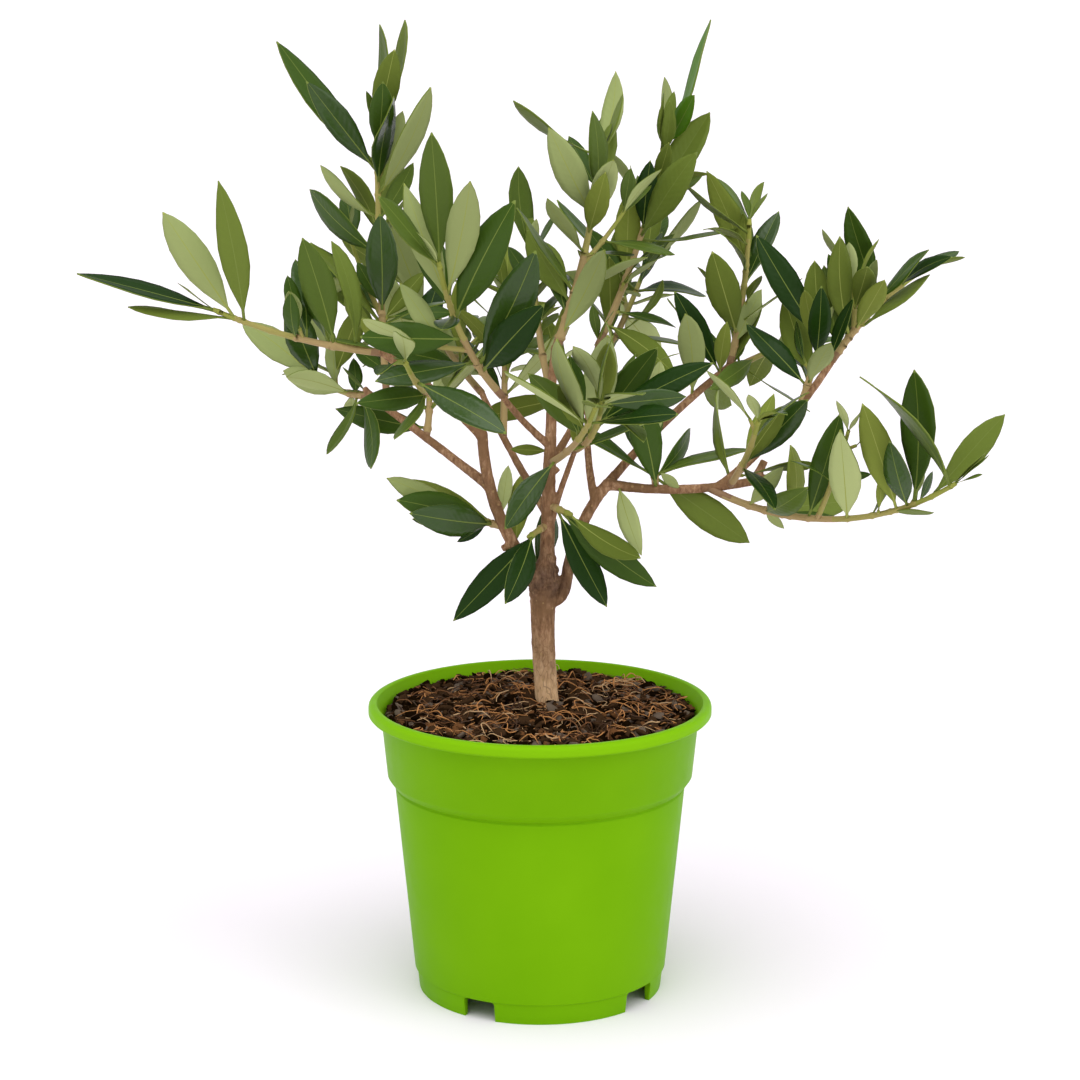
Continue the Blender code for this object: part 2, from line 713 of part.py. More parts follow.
class Crown:
    """Every mass of foliage, kept clear of the wood and of the other masses."""

    def __init__(self, wood):
        self.wood = wood
        self.finish = material("leaf")
        self.paths = {}
        self.stems = {}
        self.solid = {}
        self.kept = 0
        self.skipped = 0
        for name in wood.trees:
            limb = wood.limbs.get(name)
            form = bough_form(limb, wood.paths[name]) if limb else trunk_form()
            self.solid[name] = [form_tree(form)]

    def raise_stem(self, plan):
        """The stem, which stands before any leaf is set."""
        limb = plan.limb
        points = limb_path(limb, self.wood.start(limb))
        stem_form = limb_form(limb, points, STEM_SIDES, STEM_RINGS)
        stem = object_from(plan.name, stem_form, self.finish)
        self.wood.seat(stem)
        self.paths[plan.name] = points
        self.stems[plan.name] = stem
        space = limb_form(limb, points, STEM_SIDES, STEM_RINGS, GAP)
        self.solid[plan.name] = [form_tree(space)]

    def meets(self, tree, leave_out=None):
        """Whether the faces meet any piece, leaving out the named one."""
        return any(tree.overlap(other) for name, trees in self.solid.items()
                   if name != leave_out for other in trees)

    def meets_own(self, tree, name):
        """Whether the faces meet a twig or leaf of their own mass."""
        return any(tree.overlap(other) for other in self.solid[name][1:])

    def set_leaf(self, plan, first, pieces):
        """Add the leaf where it is clear, turned a little if it has to be."""
        for degrees in NUDGES:
            leaf = nudged(first, degrees)
            blade = form_tree(leaf_form(leaf, LEAF_CLEAR, stalk=False))
            whole = form_tree(leaf_form(leaf, GAP))
            if self.meets(whole, plan.name) or self.meets(blade, plan.name) \
                    or self.meets_own(blade, plan.name):
                continue
            pieces.append(object_from(f"{plan.name}_leaf", leaf_form(leaf), None))
            self.solid[plan.name].append(blade)
            self.kept += 1
            return
        self.skipped += 1

    def clothe(self, plan):
        """Set the shoot's side twigs and leaves, and fuse them to its stem."""
        rng = random.Random(plan.seed)
        points = self.paths[plan.name]
        leaves = leaf_pairs(points, plan.limb.length, plan.pairs, plan.leaf, STEM_FIRST,
                            plan.roll, rng)
        pieces = []
        for twig, path in side_twigs(plan, points, rng):
            more = leaf_pairs(path, twig.length, TWIG_PAIRS, plan.leaf * TWIG_LEAF, TWIG_FIRST,
                              plan.roll, rng)
            free = path[TWIG_ROOT:]
            tree = form_tree(tube(free, [TWIG_CLEAR] * len(free), TWIG_SIDES))
            if not self.meets(tree, plan.name):
                form = limb_form(twig, path, TWIG_SIDES, TWIG_RINGS)
                pieces.append(object_from(twig.name, form, None))
                self.solid[plan.name].append(tree)
                leaves += more
        for leaf in outline_leaves(plan, points, rng) + leaves:
            self.set_leaf(plan, leaf, pieces)
        fuse(self.stems[plan.name], pieces)
        keep_largest(self.stems[plan.name])


def main():
    clear_scene()
    build_pot()
    build_soil()
    wood = Wood()
    for limb in BOUGHS:
        wood.add(limb)
    crown = Crown(wood)
    for plan in SHOOTS:
        crown.raise_stem(plan)
    for plan in SHOOTS:
        crown.clothe(plan)
    print("leaves kept", crown.kept, "skipped", crown.skipped)


main()
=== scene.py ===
# %% [markdown]
# # A young olive tree in a nursery pot
# The packed model is loaded first, as a fixed frame in metres. Its pot axis is
# the world's origin and its foot stands on z = 0. Every piece made here rides
# on the one body of that frame, and most of them take a plainer solid's place.

# %% Load the fixed frame
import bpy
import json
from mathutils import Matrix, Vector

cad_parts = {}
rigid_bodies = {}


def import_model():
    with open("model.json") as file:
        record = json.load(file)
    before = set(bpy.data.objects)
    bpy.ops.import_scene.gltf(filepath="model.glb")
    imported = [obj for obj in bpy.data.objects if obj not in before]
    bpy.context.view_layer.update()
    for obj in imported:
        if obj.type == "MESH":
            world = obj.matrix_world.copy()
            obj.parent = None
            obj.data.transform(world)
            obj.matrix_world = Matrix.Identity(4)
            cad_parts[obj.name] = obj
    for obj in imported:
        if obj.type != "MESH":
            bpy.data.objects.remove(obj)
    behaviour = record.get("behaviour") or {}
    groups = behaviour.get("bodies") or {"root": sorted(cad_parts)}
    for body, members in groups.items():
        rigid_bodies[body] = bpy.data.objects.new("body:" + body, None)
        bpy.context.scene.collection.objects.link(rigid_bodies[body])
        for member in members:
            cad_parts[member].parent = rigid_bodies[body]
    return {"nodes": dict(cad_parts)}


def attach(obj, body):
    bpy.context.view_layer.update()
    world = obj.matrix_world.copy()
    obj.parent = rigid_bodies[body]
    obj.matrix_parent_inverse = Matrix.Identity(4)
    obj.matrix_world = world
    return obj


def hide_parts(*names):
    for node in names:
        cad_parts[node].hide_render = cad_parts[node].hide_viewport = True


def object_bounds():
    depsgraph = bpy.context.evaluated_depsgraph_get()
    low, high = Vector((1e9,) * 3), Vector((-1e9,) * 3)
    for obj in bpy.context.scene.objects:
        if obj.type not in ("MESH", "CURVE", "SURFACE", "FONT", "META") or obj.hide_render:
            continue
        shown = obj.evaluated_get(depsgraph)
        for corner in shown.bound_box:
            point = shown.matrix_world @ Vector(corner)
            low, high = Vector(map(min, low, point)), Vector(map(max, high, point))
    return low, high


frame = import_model()
cad_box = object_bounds()
print("solids in the frame:", len(frame["nodes"]))

# %% The tools of the lesson
import json
import math
import random
from collections import namedtuple

import bmesh
import bpy
import numpy as np
from mathutils import Matrix, Vector, noise
from mathutils.bvhtree import BVHTree
from mathutils.kdtree import KDTree

MM = 0.001
CAD_PIECES = frame["nodes"]


def nothing_selected():
    """Leave edit mode and deselect everything."""
    if bpy.context.object and bpy.context.object.mode != "OBJECT":
        bpy.ops.object.mode_set(mode="OBJECT")
    bpy.ops.object.select_all(action="DESELECT")


def only(piece):
    """Make the piece the one that the next operator acts on."""
    nothing_selected()
    piece.select_set(True)
    bpy.context.view_layer.objects.active = piece


nothing_selected()

# %% [markdown]
# ## Camera
# A potted plant is usually shown from a little above its rim, with a long lens
# so that the pot's sides stay nearly upright. The lens and the pitch are set
# first, because they decide how much of the compost is seen.

# %% Place the camera
CAMERA_BACK = 1.1
CAMERA_HEIGHT = 0.415
CAMERA_PITCH = 11.69
SENSOR = 36.0
LENS = 92.83
bpy.ops.object.camera_add(location=(0.0, -CAMERA_BACK, CAMERA_HEIGHT),
                          rotation=(math.radians(90.0 - CAMERA_PITCH), 0.0, 0.0))
camera = bpy.context.object
camera.name = "camera"
camera.data.sensor_width = SENSOR
camera.data.lens = LENS
bpy.context.scene.camera = camera
print("lens", LENS, "mm at", CAMERA_BACK, "m")

# %% [markdown]
# ## Floor
# A product table is a wide white sheet under big soft lamps. The floor is one
# large plane, so that no edge shows and the sheet runs on behind the pot.

# %% Lay the floor
FLOOR_SIZE = 120.0
bpy.ops.mesh.primitive_plane_add(size=FLOOR_SIZE, location=(0.0, 0.0, 0.0))
floor = bpy.context.object
floor.name = "floor"


def new_finish(name, colour, roughness, mirror):
    """A Principled finish whose constant values sit on its own sockets."""
    finish = bpy.data.materials.new(name)
    finish.use_nodes = True
    inputs = finish.node_tree.nodes["Principled BSDF"].inputs
    inputs["Base Color"].default_value = (*colour, 1.0)
    inputs["Roughness"].default_value = roughness
    inputs["Specular IOR Level"].default_value = mirror
    return finish


floor_finish = new_finish("white_sheet", (0.930, 0.878, 0.945), 0.9, 0.0)
floor.data.materials.append(floor_finish)
print("floor:", FLOOR_SIZE, "m across")

# %% [markdown]
# ### Joined nodes
# The glow of the world and every finish below are made of joined nodes. A
# small class adds a node, sets the inputs that it is given by name, and joins
# those that come from another node, so each finish reads as a few short lines.


# %% Short ways to add and join nodes
class Nodes:
    """The nodes of one finish, or of the world, and the shader that they feed."""

    def __init__(self, owner, shader="Principled BSDF"):
        self.tree = owner.node_tree
        self.shader = self.tree.nodes[shader]

    def give(self, socket, value):
        """Join the socket to another node's output, or set its constant value."""
        if isinstance(value, bpy.types.NodeSocket):
            self.tree.links.new(value, socket)
        else:
            socket.default_value = value

    def add(self, kind, **values):
        """A node with its settings and its inputs by name."""
        node = self.tree.nodes.new("ShaderNode" + kind)
        for name, value in values.items():
            if hasattr(node, name):
                setattr(node, name, value)
            else:
                self.give(node.inputs[name.replace("_", " ")], value)
        return node

    def shade(self, **values):
        """Feed the inputs of the shader."""
        for name, value in values.items():
            self.give(self.shader.inputs[name.replace("_", " ")], value)

    def place(self):
        """Object coordinates, which stay with the piece."""
        return self.add("TexCoord").outputs["Object"]

    def split(self, vector):
        """The vector's X, Y and Z."""
        return self.add("SeparateXYZ", Vector=vector).outputs

    def stretch(self, vector, scale):
        """The vector scaled along each axis: a smaller scale draws a pattern out."""
        return self.add("Mapping", Vector=vector, Scale=scale).outputs["Vector"]

    def noise(self, vector, scale, detail=4.0, roughness=0.5):
        """A cloudy pattern between 0 and 1."""
        return self.add("TexNoise", Vector=vector, Scale=scale, Detail=detail,
                        Roughness=roughness).outputs["Fac"]

    def span(self, value, low, high, first, last):
        """The value, carried from the range low to high to the range first to last."""
        return self.add("MapRange", Value=value, From_Min=low, From_Max=high, To_Min=first,
                        To_Max=last).outputs["Result"]

    def sum(self, operation, *values):
        """One operation on numbers or on other nodes' outputs."""
        node = self.add("Math", operation=operation)
        for socket, value in zip(node.inputs, values):
            self.give(socket, value)
        return node.outputs[0]

    def ramp(self, value, stops):
        """The value turned into a colour between its stops."""
        node = self.add("ValToRGB", Fac=value)
        while len(node.color_ramp.elements) < len(stops):
            node.color_ramp.elements.new(0.5)
        for element, (place, colour) in zip(node.color_ramp.elements, stops):
            element.position = place
            element.color = (*colour, 1.0)
        return node.outputs["Color"]

    def blend(self, share, first, second):
        """The first colour, with the given share of the second."""
        node = self.add("Mix", data_type="RGBA", Factor=share)
        self.give(node.inputs[6], first)
        self.give(node.inputs[7], (*second, 1.0) if isinstance(second, tuple) else second)
        return node.outputs[2]

    def bump(self, height, distance, strength=1.0, below=None):
        """A relief in the normals, on top of the one below."""
        node = self.add("Bump", Height=height, Distance=distance, Strength=strength)
        if below is not None:
            self.give(node.inputs["Normal"], below)
        return node.outputs["Normal"]


print("short ways:", [name for name in vars(Nodes) if not name.startswith("_")])

# %% [markdown]
# ### Studio light
# The world gives an even white glow, dimmer overhead than round the sides, and
# two wide suns act as the soft boxes. A sun lights the far floor as much as
# the near floor, so the sheet stays one white.

# %% Light the studio
SIDE_GLOW = 1.0
TOP_GLOW = 0.58
GLOW_SPAN = (0.20, 0.60)  # where the glow of the sides passes into that overhead
SUNS = (  # name, turn from the front to the right, height, strength, width
    ("key_soft_box", -14.0, 70.0, 1.82, 64.0),
    ("right_soft_box", 62.0, 34.0, 0.6, 44.0),
)
world = bpy.data.worlds.new("studio")
bpy.context.scene.world = world
world.use_nodes = True
work = Nodes(world, "Background")
upright = work.split(work.add("TexCoord").outputs["Generated"])["Z"]
work.shade(Color=(1.0, 1.0, 1.0, 1.0),
           Strength=work.span(upright, *GLOW_SPAN, SIDE_GLOW, TOP_GLOW))
for name, turn, height, strength, width in SUNS:
    bpy.ops.object.light_add(type="SUN", location=(0.0, -1.0, 2.0))
    sun = bpy.context.object
    sun.name = name
    sun.data.energy = strength
    sun.data.angle = math.radians(width)
    sun.rotation_euler = (math.radians(90.0 - height), 0.0, math.radians(turn))
bpy.context.scene.view_settings.view_transform = "Standard"
print("suns:", [row[0] for row in SUNS])

# %% [markdown]
# ## The pot
# A nursery pot is injection moulded from one thin sheet of plastic: a tapering
# body, a wider band under a rolled lip, and a foot ring with notches that let
# water out. A lathe profile could be spun, but here one ring of edges is drawn
# upwards station by station, as a potter raises a wall, because each station
# then has a name and a size. A shallow groove parts the body from the band, and
# the inside wall is drawn down again from the lip.

# %% Sizes of the pot
POT_SIDES = 144
FOOT_HEIGHT = 8.5
FOOT_WALL = 2.0
FOOT_RADIUS = 50.1
FOOT_TOP = 51.0
BODY_FOOT = 51.9
BODY_TOP = 59.4
BODY_TOP_Z = 86.6
BAND_FOOT = 62.4
BAND_FOOT_Z = 90.6
BAND_TOP = 64.9
LIP_Z = 115.8
LIP_RADIUS = 70.0
LIP_ROUND = 2.0
LIP_INSIDE = 66.3
POT_HEIGHT = 120.7
WALL = 1.2
GROOVE = 0.5  # the depth of the groove that runs round under the band
GROOVE_TOP = 0.45


def quarter_turn(radius, height, size, steps):
    """Stations of a rounded outer edge, from its side to its top."""
    turns = [math.pi / 2 * i / steps for i in range(steps + 1)]
    return [(radius - size + size * math.cos(a), height - size + size * math.sin(a))
            for a in turns]


POT_STATIONS = [
    (FOOT_RADIUS - FOOT_WALL, 0.0), (FOOT_RADIUS, 0.0), (FOOT_TOP, FOOT_HEIGHT - 0.3),
    (BODY_FOOT, FOOT_HEIGHT + 0.4), (BODY_TOP - 0.03, BODY_TOP_Z - 1.0),
    (BODY_TOP - GROOVE, BODY_TOP_Z - 0.4), (BODY_TOP - GROOVE_TOP, BODY_TOP_Z + 0.2),
    (BODY_TOP + 0.8, BODY_TOP_Z + 0.9), (BAND_FOOT - 0.7, BAND_FOOT_Z - 1.0),
    (BAND_FOOT, BAND_FOOT_Z), (BAND_TOP, LIP_Z), (LIP_RADIUS - 0.6, LIP_Z),
    (LIP_RADIUS, LIP_Z + 0.7),
]
POT_STATIONS += quarter_turn(LIP_RADIUS, POT_HEIGHT, LIP_ROUND, 5)
POT_STATIONS += [
    (LIP_INSIDE + 0.7, POT_HEIGHT), (LIP_INSIDE + 0.2, POT_HEIGHT - 0.25),
    (LIP_INSIDE, POT_HEIGHT - 0.7), (BAND_TOP - WALL + 0.6, LIP_Z + 0.4),
    (BAND_TOP - WALL, LIP_Z - 0.6), (BAND_FOOT - WALL, BAND_FOOT_Z),
    (BODY_TOP - WALL, BODY_TOP_Z), (BODY_FOOT - WALL, FOOT_HEIGHT + WALL),
]
print("stations in the pot's wall:", len(POT_STATIONS))


# %% Draw the pot up from a ring
BASE_INSET = 4.0


def edit_all(piece):
    """Enter edit mode with the whole piece selected."""
    only(piece)
    bpy.ops.object.mode_set(mode="EDIT")
    bpy.ops.mesh.select_all(action="SELECT")


def draw_ring(old, new):
    """Pull the selected ring of edges to its next radius and height."""
    rise = (new[1] - old[1]) * MM
    bpy.ops.mesh.extrude_region_move(TRANSFORM_OT_translate={"value": (0.0, 0.0, rise)})
    grow = new[0] / old[0]
    bpy.ops.transform.resize(value=(grow, grow, 1.0), center_override=(0.0, 0.0, 0.0))


def close_ring(height, radius):
    """Fill the open ring that lies at this height and radius."""
    bpy.ops.mesh.select_all(action="DESELECT")
    mesh = bmesh.from_edit_mesh(bpy.context.object.data)
    for edge in mesh.edges:
        middle = (edge.verts[0].co + edge.verts[1].co) / 2
        edge.select_set(edge.is_boundary and abs(middle.z - height * MM) < 0.1 * MM
                        and abs(middle.xy.length - radius * MM) < 0.3 * MM)
    bmesh.update_edit_mesh(bpy.context.object.data)
    bpy.ops.mesh.edge_face_add()
    bpy.ops.mesh.inset(thickness=BASE_INSET * MM)


start = (FOOT_RADIUS - FOOT_WALL, FOOT_HEIGHT)
nothing_selected()
bpy.ops.mesh.primitive_circle_add(vertices=POT_SIDES, radius=start[0] * MM,
                                  location=(0.0, 0.0, start[1] * MM))
pot = bpy.context.object
pot.name = "nursery_pot"
bpy.ops.object.transform_apply(location=True, rotation=True, scale=True)
edit_all(pot)
for old, new in zip([start] + POT_STATIONS, POT_STATIONS):
    draw_ring(old, new)
close_ring(FOOT_HEIGHT, start[0])
close_ring(FOOT_HEIGHT + WALL, BODY_FOOT - WALL)
bpy.ops.mesh.select_all(action="SELECT")
bpy.ops.mesh.normals_make_consistent(inside=False)
nothing_selected()
print("faces in the pot's wall:", len(pot.data.polygons))

# %% [markdown]
# ### Notches and soft edges
# The foot ring is open in four places, so the pot stands on four feet. A block
# is set across the ring at each place and subtracted. Moulded plastic has no
# sharp edge, so a narrow bevel then rounds every corner that turns by more
# than thirty degrees, and the curved wall is shaded smooth.

# %% Cut the notches
NOTCH_HEIGHT = 8.2
NOTCHES = ((-29.0, 16.0), (53.0, 19.0), (151.0, 16.0), (233.0, 19.0))  # turn and width, degrees
NOTCH_DEPTH = 12.0
NOTCH_CORNER = 1.2
MOULD_EDGE = 0.35


def apply_modifier(piece, kind, **settings):
    """Add one modifier, set it, and apply it."""
    only(piece)
    bpy.ops.object.modifier_add(type=kind)
    modifier = piece.modifiers[-1]
    for name, value in settings.items():
        setattr(modifier, name, value)
    bpy.ops.object.modifier_apply(modifier=modifier.name)


for turn, width in NOTCHES:
    across = 2 * FOOT_RADIUS * math.sin(math.radians(width) / 2) * MM
    angle = math.radians(turn - 90.0)
    nothing_selected()
    bpy.ops.mesh.primitive_cube_add(
        size=1.0, rotation=(0.0, 0.0, angle),
        scale=(NOTCH_DEPTH * MM, across, 2 * NOTCH_HEIGHT * MM),
        location=(FOOT_RADIUS * MM * math.cos(angle), FOOT_RADIUS * MM * math.sin(angle), 0.0))
    block = bpy.context.object
    apply_modifier(block, "BEVEL", width=NOTCH_CORNER * MM, segments=3)
    apply_modifier(pot, "BOOLEAN", object=block, operation="DIFFERENCE", solver="EXACT")
    bpy.data.objects.remove(block, do_unlink=True)
apply_modifier(pot, "BEVEL", width=MOULD_EDGE * MM, segments=2, limit_method="ANGLE",
               angle_limit=math.radians(30.0), harden_normals=False)
only(pot)
bpy.ops.object.shade_smooth_by_angle(angle=math.radians(32.0))
print("pot:", len(pot.data.polygons), "faces")

# %% [markdown]
# ### Lime-green plastic
# Moulded polypropylene is evenly coloured and has a soft gloss. Its life is in
# the small things: a faint cloudiness in the colour where the melt flowed, a
# very fine grain from the mould, and a gloss that is a little uneven. The
# rounded lip is painted paler, as a painted highlight where it catches light.
# All of it reads Object coordinates, so the pattern is fixed to the pot.

# %% The finish of the pot
LIP_HIGHLIGHT_FADE = 1.2
pot_finish = new_finish("lime_plastic", (0.160, 0.392, 0.0015), 0.42, 0.03)
work = Nodes(pot_finish)
place = work.place()
cloud = work.noise(place, 28.0, 3.0)
colour = work.ramp(cloud, ((0.3, (0.150, 0.378, 0.0010)), (0.7, (0.166, 0.402, 0.0018))))
# painted highlight: the colour turns a paler green over the rounded lip
lip_highlight_share = work.span(work.split(place)["Z"], LIP_Z * MM, (LIP_Z + LIP_HIGHLIGHT_FADE) * MM, 0.0, 1.0)
gloss = work.span(work.noise(place, 160.0), 0.3, 0.7, 0.38, 0.47)
grain = work.bump(work.noise(place, 2400.0, 2.0), 0.00003, 0.5)
drawn = work.stretch(place, (1.0, 1.0, 0.25))
flow = work.bump(work.noise(drawn, 60.0, 2.0), 0.0002, 0.25, grain)
work.shade(Base_Color=work.blend(lip_highlight_share, colour, (0.196, 0.462, 0.0030)),
           Roughness=gloss, Normal=flow)
pot.data.materials.append(pot_finish)
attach(pot, "root")
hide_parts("pot")
print("pot finished in", pot_finish.name)

# %% [markdown]
# ## The compost
# The pot is filled with peat: dark crumbs, with curly strands of coconut fibre
# laid through them. The solid that fills the pot has the right shape, so it
# stays and takes a dark, lumpy finish. What the eye reads as compost is loose
# matter on top, so crumbs and strands are real meshes scattered over it.

# %% The fill of the pot
SOIL_EDGE = 115.4
SOIL_MOUND = 118.0
SOIL_REACH = 62.0
MOUND_REACH = 16.0
HEAP_HEIGHT = 4.0
HEAP_SPREAD = 60.0
soil_finish = new_finish("wet_peat", (0.030, 0.015, 0.008), 0.95, 0.1)
work = Nodes(soil_finish)
lumps = work.noise(work.place(), 420.0, 6.0, 0.7)
colour = work.ramp(lumps, ((0.35, (0.010, 0.006, 0.004)), (0.62, (0.060, 0.034, 0.020))))
work.shade(Base_Color=colour, Normal=work.bump(lumps, 0.0015))
soil = CAD_PIECES["soil"]
for slot in soil.material_slots:
    slot.material = soil_finish
print("compost:", soil.name)


def soil_top(x, y):
    """The height of the compost, which falls from the mound to the rim."""
    part = max(0.0, min(1.0, (math.hypot(x, y) - MOUND_REACH) / (SOIL_REACH - MOUND_REACH)))
    hill = SOIL_MOUND + (SOIL_EDGE - SOIL_MOUND) * part
    heap = HEAP_HEIGHT * math.exp(-((x + 9.0) ** 2 + (y - 1.0) ** 2) / HEAP_SPREAD)
    rough = noise.noise(Vector((x * 0.07, y * 0.07, 3.0)))
    rough += noise.noise(Vector((x, y, 0.0)) * 0.2)
    return hill + heap + 0.5 + 1.1 * rough

# %% [markdown]
# ### Joined meshes
# Thousands of small things can't each be an object. One crumb or leaf is
# modelled by hand, its corners are read into an array, and each copy is that
# array turned, stretched and moved. A heap collects the copies of one kind and
# becomes a single mesh with a material slot for each colour.


# %% Collect many copies in one mesh
class Heap:
    """Corners, faces, slots and flat coordinates of many copies of small things."""

    def __init__(self):
        self.corners = []
        self.faces = []
        self.slots = []
        self.flat = []
        self.count = 0

    def add(self, corners, faces, slots, flat=None):
        self.faces += [tuple(self.count + i for i in face) for face in faces]
        self.corners.append(corners)
        self.slots += slots if isinstance(slots, list) else [slots] * len(faces)
        if flat is not None:
            self.flat.append(flat)
        self.count += len(corners)

    def piece(self, name, finishes, rides_with):
        """One object in metres from corners in millimetres."""
        mesh = bpy.data.meshes.new(name)
        mesh.from_pydata((np.concatenate(self.corners) * MM).tolist(), [], self.faces)
        mesh.polygons.foreach_set("material_index", self.slots)
        for finish in finishes:
            mesh.materials.append(finish)
        if self.flat:
            spots = np.concatenate(self.flat)
            loops = np.zeros(len(mesh.loops), dtype=np.int32)
            mesh.loops.foreach_get("vertex_index", loops)
            layer = mesh.uv_layers.new(name="flat")
            layer.data.foreach_set("uv", spots[loops].astype(np.float32).ravel())
        mesh.shade_smooth()
        mesh.update()
        made = bpy.data.objects.new(name, mesh)
        bpy.context.scene.collection.objects.link(made)
        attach(made, "root")
        triangles = sum(len(face) - 2 for face in self.faces)
        print(name, "has", triangles, "triangles")
        return made


def arrays_of(piece):
    """The corners, faces and slots of a modelled piece, which is then removed."""
    corners = np.array([tuple(v.co) for v in piece.data.vertices])
    faces = [tuple(p.vertices) for p in piece.data.polygons]
    slots = [p.material_index for p in piece.data.polygons]
    bpy.data.objects.remove(piece, do_unlink=True)
    return corners, faces, slots

# %% [markdown]
# ### Crumbs of peat
# Peat lies in crumbs from dust to a few millimetres, some nearly black, some
# rusty or grey. A crumb is a coarse ball, flattened in edit mode. Two are
# modelled, and every copy gets its own size, turn and lumps, so none repeats.

# %% Model one crumb and one lump
CRUMBS = 3000
LUMPS = 1350
CRUMB_COLOURS = {
    "peat_black": (0.010, 0.005, 0.002), "peat_brown": (0.052, 0.027, 0.013),
    "peat_red": (0.150, 0.066, 0.026), "peat_grey": (0.140, 0.104, 0.078),
}


def model_crumb(detail, height):
    """The corners and faces of a flattened ball of one millimetre's radius."""
    nothing_selected()
    bpy.ops.mesh.primitive_ico_sphere_add(subdivisions=detail, radius=1.0)
    edit_all(bpy.context.object)
    bpy.ops.transform.resize(value=(1.0, 0.72, height))
    bpy.ops.object.mode_set(mode="OBJECT")
    return arrays_of(bpy.context.object)[:2]


crumb = model_crumb(1, 0.42)
lump = model_crumb(2, 0.34)
print("faces:", len(crumb[1]), "in a crumb,", len(lump[1]), "in a lump")

# %% Scatter the crumbs
CRUMB_LEAN = 50.0
rng = np.random.default_rng(11)


def turned(rng, lean):
    """A random turn about the upright, leaned over by up to the given angle."""
    tilt = Matrix.Rotation(math.radians(rng.uniform(-lean, lean)), 3, "X")
    spin = Matrix.Rotation(rng.uniform(0.0, math.tau), 3, "Z")
    roll = Matrix.Rotation(math.radians(rng.uniform(-lean, lean)), 3, "Y")
    return np.array(spin @ tilt @ roll)


def plain_finishes(colours, roughness, mirror, grain=None):
    """One finish for each named colour, with the relief of a fine grain."""
    finishes = []
    for name, colour in colours.items():
        finish = new_finish(name, colour, roughness, mirror)
        if grain:
            scale, rough, depth, strength = grain
            work = Nodes(finish)
            skin = work.noise(work.place(), scale, 3.0, rough)
            work.shade(Normal=work.bump(skin, depth, strength))
        finishes.append(finish)
    return finishes


KINDS = (  # form, least size, added size, how rare big ones are, lowest and highest lift
    (crumb, 0.6, 1.3, 2.0, -0.4, 1.0), (lump, 1.6, 2.4, 1.6, -0.8, 1.5),
)
crumbs = Heap()
for index in range(CRUMBS + LUMPS):
    far = SOIL_REACH * math.sqrt(rng.uniform(0.002, 1.0))
    angle = rng.uniform(0.0, math.tau)
    x, y = far * math.cos(angle), far * math.sin(angle)
    (corners, faces), least, added, rarity, low, high = KINDS[index >= CRUMBS]
    size = least + added * rng.uniform() ** rarity
    lift = rng.uniform(low, high)
    size = min(size, 0.5 + (SOIL_REACH + 1.5 - far))
    form = corners * size * rng.uniform(0.65, 1.35, size=corners.shape)
    spot = np.array((x, y, soil_top(x, y) + lift))
    tone = int(rng.choice(4, p=(0.36, 0.40, 0.10, 0.14)))
    crumbs.add(form @ turned(rng, CRUMB_LEAN).T + spot, faces, tone)
crumb_finishes = plain_finishes(CRUMB_COLOURS, 0.95, 0.0, (1800.0, 0.6, 0.0003, 1.0))
crumbs.piece("peat_crumbs", crumb_finishes, "soil")

# %% [markdown]
# ### Tubes from arrays
# A strand, a twig and a stem are all the same thing: a ring of corners carried
# along a path, thicker or thinner at each step. A curve with a bevel does this
# for one limb at a time. For hundreds, a small function lays the rings itself,
# and carries each ring from the last one so that it never twists.


# %% Lay a tube along a path
def tube(path, radii, sides):
    """Corners and faces of a closed tube along the path."""
    path = np.asarray(path, dtype=float)
    ways = np.diff(path, axis=0)
    ways /= np.maximum(np.linalg.norm(ways, axis=1), 1e-9)[:, None]
    along = np.vstack((ways[:1], ways[:-1] + ways[1:], ways[-1:]))
    along /= np.maximum(np.linalg.norm(along, axis=1), 1e-9)[:, None]
    first = np.cross(along[0], (0.31, -0.87, 0.38))
    turns = math.tau * np.arange(sides) / sides
    rings = []
    for centre, way, radius in zip(path, along, radii):
        first = first - way * first.dot(way)
        first /= max(np.linalg.norm(first), 1e-9)
        other = np.cross(way, first)
        ring = np.outer(np.cos(turns), first) + np.outer(np.sin(turns), other)
        rings.append(centre + ring * radius)
    faces = []
    for step in range(len(path) - 1):
        low, high = step * sides, (step + 1) * sides
        for i in range(sides):
            j = (i + 1) % sides
            faces.append((low + i, low + j, high + j, high + i))
    faces.append(tuple(reversed(range(sides))))
    faces.append(tuple((len(path) - 1) * sides + i for i in range(sides)))
    return np.concatenate(rings), faces

# %% [markdown]
# ### Strands of coconut fibre
# The fibres are thin, curly and much lighter than the peat, so they carry most
# of its look. Each wanders over the compost in short steps, arches a little,
# and turns back when it nears the wall of the pot.

